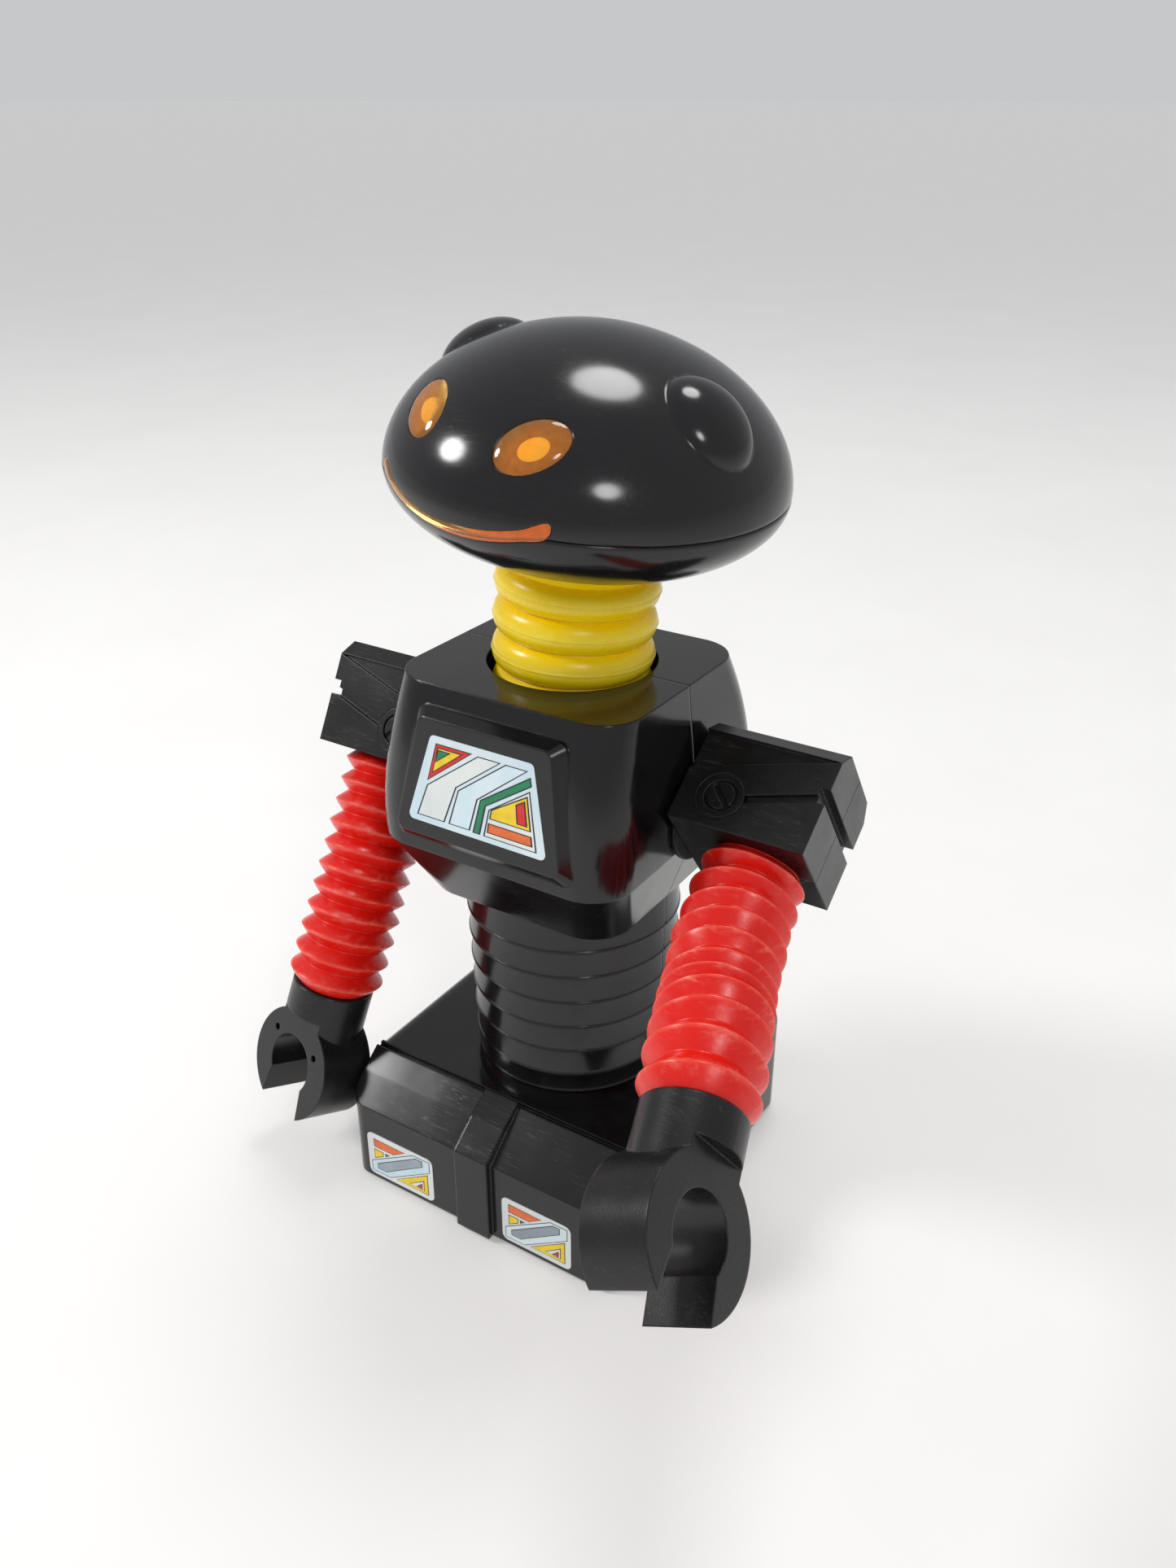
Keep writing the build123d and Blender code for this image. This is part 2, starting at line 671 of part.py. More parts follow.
def neck_collar():
    floor = (NECK_START - 2.2, NECK_START - 0.2)
    cup = rod_z(0, 0, (floor[0], 165 - WALL), CUP_R)
    cup -= rod_z(0, 0, (floor[1], 170), NECK_HOLE_R + 0.1)
    return cup - rod_z(0, 0, (floor[0] - 1, floor[1] + 1), NECK_BORE + FIT)


# Wrists and claws -----------------------------------------------------------------

def claw_plane(side):
    """Origin at the end of the bellows, Z along the claw, X along the grip's bore."""
    along = Vector(*CLAW_ALONG[side]).normalized()
    bore = Vector(*CLAW_BORE[side])
    bore = bore - along * bore.dot(along)
    return Plane(origin=WRIST[side], x_dir=bore, z_dir=along)


def wrist_plug(side):
    plug = rod_z(0, 0, (-3.0, -0.1), ARM_BORE - 3 * TOUCH)
    plug += rod_z(0, 0, (-0.1, SPINDLE_LENGTH - 0.2), SPINDLE_R)
    return claw_plane(side) * plug


def claw(side):
    collar = rod_z(0, 0, (0.1, COLLAR_END), COLLAR_R)
    collar = chamfer(collar.edges().group_by(Axis.Z)[0], 0.5)
    neck = rod_z(0, 0, (COLLAR_END - 0.1, RING_AT - RING_BORE), COLLAR_R)
    neck &= box((-RING_HALF, RING_HALF), (-20, 20), (0, 40))
    ring = rod_x((-RING_HALF, RING_HALF), 0, RING_AT, RING_R)
    body = collar + neck + ring
    body -= rod_x((-20, 20), 0, RING_AT, RING_BORE)
    far = RING_AT + RING_R + 1
    gap = [(-GAP_INNER, RING_AT), (GAP_INNER, RING_AT), (GAP_OUTER, far), (-GAP_OUTER, far)]
    body -= extrude(make_face(Plane.YZ * Polyline(*gap, close=True)), amount=20, both=True)
    body -= rod_z(0, 0, (-1, SPINDLE_LENGTH), SPINDLE_R + FIT)
    if side == "right":
        for sign in (-1, 1):
            body -= rod_x((1.0, 20), sign * PEG_AT[1], RING_AT + PEG_AT[0], PEG_R)
    return claw_plane(side) * body


# Head -----------------------------------------------------------------------------

def head_frame():
    return Pos(*HEAD_ORIGIN) * Rot(0, 0, HEAD_TURNED) * Rot(0, HEAD_TILT, 0)


def dome_height(r, inset):
    share = min(1.0, r / (HEAD_R - inset))
    return (DOME - inset) * (1 - share ** DOME_POWER) ** (1 / DOME_POWER)


def dome(inset):
    """Upper half of the head about the Z axis, grown or shrunk by the inset."""
    count = 12
    full = HEAD_R - inset
    points = []
    for k in range(count + 1):
        r = full * sin(k / count * pi / 2)
        points.append((r, dome_height(r, inset)))
    curve = Spline(*points, tangents=[(1, 0), (0, -1)])
    rest = Polyline(points[-1], (0, 0), points[0])
    return revolve(make_face(Plane.XZ * (curve + rest)), Axis.Z)


def bowl(inset):
    count = 8
    full = HEAD_R - inset
    depth = BOWL - inset
    turns = [k / count * pi / 2 for k in range(count + 1)]
    points = [(full * sin(t), -depth * cos(t)) for t in turns]
    curve = Spline(*points, tangents=[(1, 0), (0, 1)])
    rest = Polyline(points[-1], (0, 0), points[0])
    body = revolve(make_face(Plane.XZ * (curve + rest)), Axis.Z)
    cut = BOWL_CUT - inset
    return body & rod_z(0, 0, (-cut, 1), 60)


def eye_plane(sign):
    """On the dome's skin, Z outwards, X along the eye's long axis."""
    r = HEAD_R * (1 - (EYE_Z / DOME) ** DOME_POWER) ** (1 / DOME_POWER)
    return skin_plane(r, sign * EYE_ANGLE, sign * EYE_SLANT)


def skin_plane(r, angle, slant):
    step = 0.1
    slope = (dome_height(r - step, 0) - dome_height(r + step, 0)) / (2 * step)
    a = radians(angle)
    out = Vector(sin(a), -cos(a), 0)
    normal = (out * slope + Vector(0, 0, 1)).normalized()
    level = Vector(cos(a), sin(a), 0)
    plane = Plane(origin=out * r + Vector(0, 0, dome_height(r, 0)), x_dir=level, z_dir=normal)
    return plane.rotated((0, 0, slant))


def eye_prism(sign, shrink, depth):
    face = Ellipse(EYE_HALF[0] - shrink, EYE_HALF[1] - shrink)
    return eye_plane(sign) * extrude(Pos(0, 0, -depth) * face, amount=depth + 6)


def ear(sign):
    r = HEAD_R * (1 - (EAR_Z / DOME) ** DOME_POWER) ** (1 / DOME_POWER)
    ball = scale(Sphere(1), by=(EAR_HALF[1], EAR_HALF[0], EAR_PROUD))
    return skin_plane(r, sign * EAR_ANGLE, 0) * Pos(0, 0, -0.6) * ball


def in_head(shape):
    return head_frame() * Pos(0, -HEAD_FORWARD, 0) * shape


def mouth_slices(low, high):
    """Wedges along the smiling mouth line, from low to high above that line."""
    steps = 14
    span = 2 * MOUTH_ANGLE / steps
    reach = 60
    a = radians(span / 2 + 0.2)
    wedge = [(0, 0), (-reach * sin(a), -reach * cos(a)), (reach * sin(a), -reach * cos(a))]
    prism = extrude(make_face(Polyline(*wedge, close=True)), amount=high - low)
    slices = []
    for k in range(steps):
        middle = -MOUTH_ANGLE + (k + 0.5) * span
        z = MOUTH_LOW + MOUTH_RISE * (middle / MOUTH_ANGLE) ** 2
        slices.append(Rot(0, 0, middle) * Pos(0, 0, z + low) * prism)
    return slices[0].fuse(*slices[1:])


def head_skin(outer, inner):
    return dome(outer) + bowl(outer) - (dome(inner) + bowl(inner))


def head_upper():
    shell = head_skin(0, WALL) + (ear(1) + ear(-1) - dome(WALL))
    for sign in (-1, 1):
        shell -= eye_prism(sign, 0, 8)
    for x, y in head_screw_places():
        shell += rod_z(x, y, (0.2, dome_height(sqrt(x * x + y * y), 0) - 1), 3.4)
        shell -= rod_z(x, y, (-1, 10), SCREW_R + FIT)
    above = rod_z(0, 0, (SEAM / 2, 60), 80) + mouth_slices(MOUTH_HALF, 8)
    return in_head((shell & above) - mouth_slices(-MOUTH_HALF - TOUCH, MOUTH_HALF + TOUCH))


def head_lower():
    shell = head_skin(0, WALL) & rod_z(0, 0, (-60, -SEAM / 2), 80)
    shell -= rod_z(0, 0, (-30, 5), PLUG_R + FIT)
    for x, y in head_screw_places():
        shell += rod_z(x, y, (-BOWL, -0.2), 3.8) & bowl(0.4)
        shell -= rod_z(x, y, (-40, 5), SCREW_R + FIT)
        shell -= rod_z(x, y, (-40, -6), SCREW_HEAD + 0.1)
    return in_head(shell - mouth_slices(-MOUTH_HALF - TOUCH, 8))


def head_screw_places():
    return [(30.0 * sin(radians(a)), -30.0 * cos(radians(a))) for a in (60, 180, 300)]


def head_screws():
    return in_head(joined(rod_z(x, y, (-7.2, -6.0), SCREW_HEAD) + rod_z(x, y, (-6.0, 8), SCREW_R)
                          for x, y in head_screw_places()))


def eye_lens(sign):
    return in_head(eye_prism(sign, 0.1, 8) & (dome(-0.7) - dome(1.4)))


def eye_pupil(sign):
    plane = eye_plane(sign)
    return in_head(plane * Pos(0, 0, -4.1) * Cylinder(3.4, 2.4))


def mouth_lens():
    return in_head(mouth_slices(-MOUTH_HALF, MOUTH_HALF) & head_skin(-0.3, 2.0))


def neck_plug():
    plug = rod_z(0, 0, (-3.0, 0.1), NECK_BORE - 1.4 - 3 * TOUCH)
    plug += rod_z(0, 0, (0.1, 2.9), PLUG_R)
    plug += rod_z(0, 0, (2.9, 4.3), PLUG_R + 1.6)
    return head_frame() * Pos(0, -HEAD_FORWARD, -NECK_DROP) * plug


def lamp_holder():
    holder = rod_z(0, 0, (-4.0, 2.0), 6.0) + box((-22, 22), (-3, 3), (-5.0, -3.4))
    return in_head(holder - rod_z(0, 0, (-2.0, 4), 2.6))


def lamp_bulb():
    return in_head(rod_z(0, 0, (-1.9, 5), 2.5) + Pos(0, 0, 5) * Sphere(3.4))


# Export ---------------------------------------------------------------------------

def build_base():
    export(base_shell(), "base_shell")
    export(base_plate(), "base_plate")
    export(base_screws(), "base_screws")
    for side in ("left", "right"):
        sign = side_sign(side)
        export(bumper_sticker(side), "bumper_sticker_" + side)
        export(wheel(mirrored(DRIVE_X, sign), DRIVE_Y, DRIVE_R), "drive_wheel_" + side)
        export(wheel(mirrored(FRONT_X, sign), FRONT_Y, FRONT_R), "front_wheel_" + side)
    export(battery_door(), "battery_door")
    export(batteries(), "batteries")
    export(battery_contacts(), "battery_contacts")
    export(power_switch(), "power_switch")
    export(axle_gear(), "axle_gear")
    export(idler_gear(), "idler_gear")
    export(motor_pinion(), "motor_pinion")
    export(motor(), "motor")
    export(gearbox_frame(), "gearbox_frame")
    export(drive_axle(), "drive_axle")
    export(front_axle(), "front_axle")


def build_body():
    export(front_half(waist_drum()), "waist_front")
    export(rear_half(waist_drum()), "waist_rear")
    export(torso_front(), "torso_front")
    export(torso_rear(), "torso_rear")
    export(torso_screws(), "torso_screws")
    export(chest_sticker(), "chest_sticker")
    export(neck_collar(), "neck_collar")
    export(neck_bellows(), "neck_bellows")
    export(neck_plug(), "neck_plug")


def build_arm(side):
    export(shoulder_shaft(side), "shoulder_shaft_" + side)
    export(shoulder_half(side, True), "shoulder_front_" + side)
    export(shoulder_half(side, False), "shoulder_rear_" + side)
    export(shoulder_pin(side), "shoulder_pin_" + side)
    export(arm_bellows(side), "arm_bellows_" + side)
    export(wrist_plug(side), "wrist_plug_" + side)
    export(claw(side), "claw_" + side)


def build_head():
    export(head_upper(), "head_upper")
    export(head_lower(), "head_lower")
    export(head_screws(), "head_screws")
    export(mouth_lens(), "mouth_lens")
    export(lamp_holder(), "lamp_holder")
    export(lamp_bulb(), "lamp_bulb")
    for side in ("left", "right"):
        export(eye_lens(side_sign(side)), "eye_lens_" + side)
        export(eye_pupil(side_sign(side)), "eye_pupil_" + side)


os.makedirs("parts", exist_ok=True)
build_base()
build_body()
for arm_side in ("left", "right"):
    build_arm(arm_side)
build_head()
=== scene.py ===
import json
import math
import random

import bmesh
import bpy
import numpy as np
from mathutils import Matrix, Vector

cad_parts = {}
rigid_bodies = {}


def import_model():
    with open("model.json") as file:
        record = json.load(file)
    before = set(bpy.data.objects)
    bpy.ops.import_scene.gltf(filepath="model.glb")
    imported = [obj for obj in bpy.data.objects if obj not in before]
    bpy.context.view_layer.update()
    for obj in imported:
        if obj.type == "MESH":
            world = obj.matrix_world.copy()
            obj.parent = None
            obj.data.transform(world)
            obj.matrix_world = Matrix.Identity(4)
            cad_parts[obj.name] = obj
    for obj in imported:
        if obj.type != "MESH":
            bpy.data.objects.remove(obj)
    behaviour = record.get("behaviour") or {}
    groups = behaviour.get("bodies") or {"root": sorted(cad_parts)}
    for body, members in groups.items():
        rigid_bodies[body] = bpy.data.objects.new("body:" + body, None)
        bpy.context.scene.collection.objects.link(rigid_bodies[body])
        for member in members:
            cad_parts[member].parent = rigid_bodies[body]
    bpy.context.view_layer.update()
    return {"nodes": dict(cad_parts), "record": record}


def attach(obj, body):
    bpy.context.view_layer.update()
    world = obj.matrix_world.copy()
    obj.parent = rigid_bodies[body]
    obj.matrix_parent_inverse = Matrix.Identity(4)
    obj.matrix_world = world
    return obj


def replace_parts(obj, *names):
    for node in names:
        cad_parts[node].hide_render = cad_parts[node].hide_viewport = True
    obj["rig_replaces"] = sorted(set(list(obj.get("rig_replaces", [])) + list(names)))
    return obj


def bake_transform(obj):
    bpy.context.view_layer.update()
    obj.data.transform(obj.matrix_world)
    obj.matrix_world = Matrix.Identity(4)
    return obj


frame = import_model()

# Sizes are in millimetres, and MM turns them into the frame's metres
MM = 0.001
SIDES = {"left": 1, "right": -1}

# Head, in its own frame: the origin is in the rim plane and Z is the centre line
HEAD_AT = (5.4, 7.1, 216.6)
HEAD_TURN = -9.0
HEAD_LEAN = 7.0
HEAD_FORWARD = 6.0
HEAD = (Matrix.Translation(Vector(HEAD_AT) * MM)
        @ Matrix.Rotation(math.radians(HEAD_TURN), 4, "Z")
        @ Matrix.Rotation(math.radians(HEAD_LEAN), 4, "Y")
        @ Matrix.Translation(Vector((0, -HEAD_FORWARD, 0)) * MM))
HEAD_R = 51.45
DOME = 35.4  # height above the rim plane
DOME_POWER = 1.9
BOWL = 22.0  # depth of the whole bowl, which is cut flat at BOWL_CUT
BOWL_CUT = 15.8
BOWL_HOLE = 14.2  # radius of the neck's hole in that flat
SHELL = 2.0
SEAM = 0.15
EDGE_ROLL = 0.3  # how far a shell's edge turns in at the parting line
CROWN_GAP = 0.004  # radians left at the crown, under one small face
LENS_GAP = 0.08  # between a lens and its opening
EYE_ANGLE = 22.8  # degrees from the middle
EYE_Z = 17.8
EYE_HALF = (9.2, 6.2)
EYE_SLANT = 34.0
EYE_COLUMNS = 96
EYE_CUT = (-7.0, 5.0)  # heights of the cutter's ends from the skin
LENS_SET = -0.12  # height of the lens's edge from the skin
LENS_BULGE = 1.0
MOUTH_ANGLE = 30.0  # degrees from the middle to each end
MOUTH_LOW = -3.3
MOUTH_RISE = 4.9
MOUTH_HALF = 1.35  # half its height in the middle
MOUTH_END = 1.95  # half its height at the ends
MOUTH_SWELL = 6.0  # degrees over which it grows to that
MOUTH_CUT = (-5.0, 3.0)  # heights of the cutter's inner and outer faces from the skin
MOUTH_FADE = (0.5, 3.5)  # degrees: where the parting line meets the smile, and how long it takes
EAR_ANGLE = 86.0
EAR_Z = 23.2
EAR_HALF = (13.0, 11.0)
EAR_PROUD = 4.2
EAR_POWERS = (2.2, 0.75)  # how round the bump's middle and edge are
EAR_DEPTH = 8.0

# Waist, bumper and chest
DECK_TOP = 39.5
WAIST_TOP_R = 31.0
WAIST_LEDGES = (89.7, 81.0, 72.2, 63.5, 54.8, 46.1)  # heights, from the top one down
WAIST_TOP = 99.8
LEDGE = 0.6  # how far the drum steps in under each band
FLARE = 0.27  # how far a band widens downwards
LIP = 0.36
SPIGOT_R = 29.5  # the drum's plain end, which goes into the torso
SPIGOT_TOP = 108.0
WAIST_WALL = 2.2
WAIST_STEPS = 96
STICKER = 0.2
BUMPER_FRONT = -53.3
BUMPER_STICKERS = {"right": (-41.0, -15.8), "left": (9.6, 33.4)}  # from and to along X
BUMPER_STICKER_Z = (3.0, 19.2)
BUMPER_ROUND = 2.0
BUMPER_MARGIN = 1.3
BUMPER_LINE = 0.22
CHEST_TOP = (-41.2, 158.2)  # y and z of the panel's upper edge
CHEST_LOW = (-46.2, 128.5)
CHEST_STICKER = (16.0, 22.0, 11.4, -12.8)  # half width above and below, then its top and foot
CHEST_LINE = 0.011  # as a share of the sticker

# Arms and neck
PIVOT_Z = 128.8
ARM_X = 61.9
BLOCK_LOW = 9.5  # from the pivot to the block's underside
SWING = {"right": 28.4, "left": 53.0}  # degrees forward of straight down
WRIST = {"right": (-62.9, -38.9, 57.4), "left": (83.5, -80.0, 104.4)}
CLAW_ALONG = {"right": (-0.142, -0.325, -0.935), "left": (0.256, -0.878, -0.404)}
ARM_RADII = (11.2, 14.4)  # in the valleys and on the crests
ARM_CUFF = [(3.7, 12.9), (2.7, 12.9), (2.6, 11.45), (0.05, 11.45)]
NECK_RADII = (19.0, 22.3)
NECK_CUFF = [(4.2, 19.4), (2.5, 19.4), (2.4, 17.5), (0.05, 17.5)]
NECK_START = 154.2
NECK_DROP = 16.2  # from the head's origin down to the neck's upper end
SQUEEZE = (0.55, 0.62)  # lengths of the pressed pair of folds


# Materials ------------------------------------------------------------------------

class Shader:
    """A Principled material with short helpers for its procedural inputs."""

    def __init__(self, name, **inputs):
        self.mat = bpy.data.materials.new(name)
        self.mat.use_nodes = True
        self.nodes = self.mat.node_tree.nodes
        self.links = self.mat.node_tree.links
        self.bsdf = self.nodes["Principled BSDF"]
        self.coord = self.nodes.new("ShaderNodeTexCoord").outputs["Object"]
        for key, value in inputs.items():
            self.bsdf.inputs[key.replace("_", " ")].default_value = value

    def link(self, a, b):
        self.links.new(a, b)
        return b

    def stretched(self, scale, turn=(0, 0, 0)):
        node = self.nodes.new("ShaderNodeMapping")
        node.inputs["Scale"].default_value = scale
        node.inputs["Rotation"].default_value = [math.radians(t) for t in turn]
        self.link(self.coord, node.inputs["Vector"])
        return node.outputs["Vector"]

    def noise(self, scale, detail=4.0, rough=0.55, vector=None):
        node = self.nodes.new("ShaderNodeTexNoise")
        node.inputs["Scale"].default_value = scale
        node.inputs["Detail"].default_value = detail
        node.inputs["Roughness"].default_value = rough
        self.link(vector or self.coord, node.inputs["Vector"])
        return node.outputs["Fac"]

    def ramp(self, value, low, high, out_low=0.0, out_high=1.0):
        node = self.nodes.new("ShaderNodeMapRange")
        node.inputs["From Min"].default_value = low
        node.inputs["From Max"].default_value = high
        node.inputs["To Min"].default_value = out_low
        node.inputs["To Max"].default_value = out_high
        self.link(value, node.inputs["Value"])
        return node.outputs["Result"]

    def math(self, op, a, b):
        node = self.nodes.new("ShaderNodeMath")
        node.operation = op
        for socket, value in zip(node.inputs, (a, b)):
            if isinstance(value, (int, float)):
                socket.default_value = value
            else:
                self.link(value, socket)
        return node.outputs[0]

    def mix(self, factor, a, b):
        node = self.nodes.new("ShaderNodeMix")
        node.data_type = "RGBA"
        sockets = (node.inputs["Factor"], node.inputs[6], node.inputs[7])
        for socket, value in zip(sockets, (factor, a, b)):
            if isinstance(value, (int, float)):
                socket.default_value = value
            elif isinstance(value, tuple):
                socket.default_value = (*value[:3], 1.0)
            else:
                self.link(value, socket)
        return node.outputs[2]

    def attribute(self, name):
        node = self.nodes.new("ShaderNodeAttribute")
        node.attribute_name = name
        return node.outputs["Fac"]

    def scratches(self, scale, width, seed):
        """Thin straight lines in a few directions, as a 0 to 1 mask."""
        mask = None
        for k, turn in enumerate(((15, 40, 10), (70, -20, 55), (-35, 10, 120))):
            vector = self.stretched((scale * 0.045, scale, scale), (turn[0] + seed, turn[1], turn[2]))
            lines = self.ramp(self.noise(1.0, 2.0, 0.5, vector), 0.5 - width, 0.5 + width)
            thin = self.math("MULTIPLY", lines, self.math("SUBTRACT", 1.0, lines))
            broken = self.ramp(self.noise(60.0 + 17 * k, 2.0), 0.52, 0.62)
            part = self.math("MULTIPLY", self.math("MULTIPLY", thin, 4.0), broken)
            mask = part if mask is None else self.math("MAXIMUM", mask, part)
        return mask

    def bump(self, height, distance, strength=1.0, edge=0.0):
        node = self.nodes.new("ShaderNodeBump")
        node.inputs["Distance"].default_value = distance
        node.inputs["Strength"].default_value = strength
        self.link(height, node.inputs["Height"])
        if edge:
            bevel = self.nodes.new("ShaderNodeBevel")
            bevel.samples = 6
            bevel.inputs["Radius"].default_value = edge
            self.link(bevel.outputs["Normal"], node.inputs["Normal"])
        self.link(node.outputs["Normal"], self.bsdf.inputs["Normal"])

    def set(self, name, value):
        self.link(value, self.bsdf.inputs[name])


def gloss_black():
    s = Shader("gloss_black", Specular_IOR_Level=0.5)
    smudge = s.ramp(s.noise(28.0, 5.0, 0.6), 0.35, 0.7)
    scratch = s.scratches(900.0, 0.012, 0)
    dust = s.ramp(s.noise(1400.0, 3.0, 0.7), 0.68, 0.78)
    rough = s.math("ADD", s.ramp(smudge, 0, 1, 0.12, 0.2), s.math("MULTIPLY", scratch, 0.10))
    s.set("Roughness", rough)
    worn = s.mix(s.math("MULTIPLY", scratch, 0.10), (0.006, 0.006, 0.007), (0.05, 0.05, 0.055))
    s.set("Base Color", s.mix(s.math("MULTIPLY", dust, 0.10), worn, (0.12, 0.11, 0.10)))
    s.bump(s.noise(32.0, 2.0), 0.0005, 0.18, 0.0008)
    return s.mat


def satin_black():
    s = Shader("satin_black", Specular_IOR_Level=0.42)
    smudge = s.ramp(s.noise(60.0, 5.0, 0.6), 0.3, 0.7)
    scratch = s.scratches(800.0, 0.015, 30)
    rough = s.math("ADD", s.ramp(smudge, 0, 1, 0.24, 0.36), s.math("MULTIPLY", scratch, 0.10))
    s.set("Roughness", rough)
    pale = s.mix(s.math("MULTIPLY", scratch, 0.18), (0.007, 0.007, 0.008), (0.10, 0.10, 0.10))
    s.set("Base Color", s.mix(s.ramp(s.noise(500.0), 0.6, 0.8, 0.0, 0.15), pale, (0.04, 0.039, 0.037)))
    s.bump(s.noise(1800.0, 3.0), 0.00005, 0.5, 0.0006)
    return s.mat


def soft_plastic(name, deep, pale, mark, radius, wear):
    """Translucent polythene: deep in the folds and paler along the crests, where a highlight is painted into
    the colour, with whitish handling marks.
    """
    s = Shader(name, Specular_IOR_Level=0.45, IOR=1.5, Subsurface_Weight=0.12, Subsurface_Scale=0.003)
    s.bsdf.inputs["Subsurface Radius"].default_value = radius
    crest = s.attribute("crest")
    patch = s.ramp(s.noise(160.0, 5.0, 0.65), 0.42, 0.68)
    streak = s.ramp(s.noise(1.0, 4.0, 0.6, s.stretched((260, 260, 900))), 0.5, 0.72)
    # edge is the highlight painted along the crests.
    edge = s.math("MULTIPLY", s.ramp(crest, 0.82, 1.0), s.ramp(patch, 0, 1, 0.35, 0.9))
    rubbed = s.ramp(crest, 0.35, 1.0, 0.1 * wear, wear)
    marks = s.math("MULTIPLY", s.math("MULTIPLY", streak, patch), rubbed)
    s.set("Base Color", s.mix(marks, s.mix(edge, deep, pale), mark))
    s.set("Roughness", s.ramp(patch, 0, 1, 0.24, 0.38))
    s.bump(s.noise(700.0, 3.0), 0.0001, 0.3)
    return s.mat


def amber():
    s = Shader("amber_lens", IOR=1.45, Transmission_Weight=0.9)
    cloud = s.noise(400.0, 4.0)
    s.set("Base Color", s.mix(s.ramp(cloud, 0.35, 0.7), (1.0, 0.62, 0.16), (1.0, 0.50, 0.08)))
    s.set("Roughness", s.ramp(s.noise(900.0), 0.4, 0.7, 0.03, 0.1))
    s.bump(s.noise(450.0, 2.0), 0.0001, 0.2)
    return s.mat


def plain(name, colour, rough, metal=0.0, other=None, scale=300.0, grain=0.00005, **inputs):
    """Moulded or metal piece: colour and roughness drift a little, and a fine grain catches the light."""
    s = Shader(name, Metallic=metal, **inputs)
    darker = other or tuple(c * 0.8 for c in colour)
    s.set("Base Color", s.mix(s.ramp(s.noise(scale, 4.0), 0.35, 0.7), colour, darker))
    s.set("Roughness", s.ramp(s.noise(scale * 2), 0.35, 0.7, rough * 0.8, rough * 1.2))
    s.bump(s.noise(scale * 6, 2.0), grain, 0.5, 0.0002)
    return s.mat


def foil_field(name, light, dark):
    """Metallised foil with a soft diagonal sheen."""
    s = Shader(name, Metallic=0.35)
    sheen = s.ramp(s.noise(1.0, 2.0, 0.5, s.stretched((70, 70, 25), (0, 35, 0))), 0.35, 0.65)
    s.set("Base Color", s.mix(sheen, light, dark))
    s.set("Roughness", s.ramp(s.noise(300.0), 0.3, 0.7, 0.16, 0.3))
    s.bump(s.noise(250.0, 3.0), 0.0001, 0.2)
    return s.mat


def floor_material():
    s = Shader("studio_floor", Specular_IOR_Level=0.2)
    s.bsdf.inputs["Emission Color"].default_value = (0.95, 0.95, 0.96, 1)
    s.bsdf.inputs["Emission Strength"].default_value = 0.22
    patch = s.ramp(s.noise(9.0, 3.0), 0.3, 0.7)
    s.set("Base Color", s.mix(patch, (0.80, 0.79, 0.77), (0.77, 0.76, 0.74)))
    s.set("Roughness", s.ramp(s.noise(40.0), 0.3, 0.7, 0.5, 0.65))
    return s.mat


MATS = {
    "gloss_black": gloss_black(),
    "satin_black": satin_black(),
    # pale is the colour of the highlight painted along each bellows' crests.
    "red_pe": soft_plastic("red_pe", deep=(0.80, 0.010, 0.004), pale=(0.98, 0.13, 0.08),
                           mark=(1.0, 0.42, 0.34), radius=(1.0, 0.1, 0.05), wear=0.6),
    "yellow_pe": soft_plastic("yellow_pe", deep=(1.0, 0.68, 0.0), pale=(1.0, 0.80, 0.08),
                              mark=(1.0, 0.85, 0.25), radius=(1.0, 0.6, 0.1), wear=0.2),
    "amber_lens": amber(),
    # The yellow core's emission is painted glow, standing in for light that comes in through the lens.
    "yellow_core": plain("yellow_core", (1.0, 0.85, 0.15), 0.35, Emission_Strength=0.5,
                         Emission_Color=(1.0, 0.88, 0.15, 1)),
    # The eye cup's emission is painted glow, standing in for light that comes in through the lens.
    "eye_cup": plain("eye_cup", (0.62, 0.30, 0.04), 0.35, 0.0, (0.40, 0.17, 0.01), 500.0, 0.0006,
                     Emission_Strength=0.09, Emission_Color=(1.0, 0.50, 0.10, 1)),
    # The mouth liner's emission is painted glow, standing in for light that comes in through the amber
    # strip.
    "mouth_painted_glow": plain("mouth_painted_glow", (0.90, 0.22, 0.02), 0.35, 0.0, (0.60, 0.10, 0.01), 500.0, 0.0004,
                        Emission_Strength=0.22, Emission_Color=(1.0, 0.20, 0.02, 1)),
    "foil": foil_field("foil", (0.72, 0.82, 0.86), (0.60, 0.75, 0.82)),
    "foil_border": foil_field("foil_border", (0.80, 0.84, 0.82), (0.70, 0.75, 0.74)),
    "foil_sky": foil_field("foil_sky", (0.60, 0.78, 0.86), (0.78, 0.86, 0.88)),
    "ink_grey": foil_field("ink_grey", (0.36, 0.42, 0.47), (0.28, 0.33, 0.38)),
    "ink_black": plain("ink_black", (0.02, 0.02, 0.025), 0.3),
    "ink_red": plain("ink_red", (0.75, 0.02, 0.02), 0.3),
    "ink_orange": plain("ink_orange", (0.85, 0.16, 0.03), 0.3),
    "ink_yellow": plain("ink_yellow", (0.95, 0.68, 0.02), 0.3),
    "ink_green": plain("ink_green", (0.01, 0.24, 0.10), 0.3),
    "zinc": plain("zinc", (0.62, 0.62, 0.60), 0.3, 1.0),
    "spring_steel": plain("spring_steel", (0.62, 0.62, 0.60), 0.25, 1.0),
    "motor_can": plain("motor_can", (0.55, 0.55, 0.55), 0.3, 1.0),
    "brass": plain("brass", (0.75, 0.52, 0.2), 0.3, 1.0),
    "white_nylon": plain("white_nylon", (0.78, 0.78, 0.74), 0.4),
    "rubber_black": plain("rubber_black", (0.03, 0.03, 0.03), 0.75, grain=0.0002),
    "switch_grey": plain("switch_grey", (0.25, 0.25, 0.27), 0.4),
    "cell": plain("cell", (0.08, 0.2, 0.42), 0.3),
    "bulb_glass": plain("bulb_glass", (0.95, 0.95, 0.92), 0.06, Transmission_Weight=0.95, IOR=1.45),
}


# Meshes ---------------------------------------------------------------------------

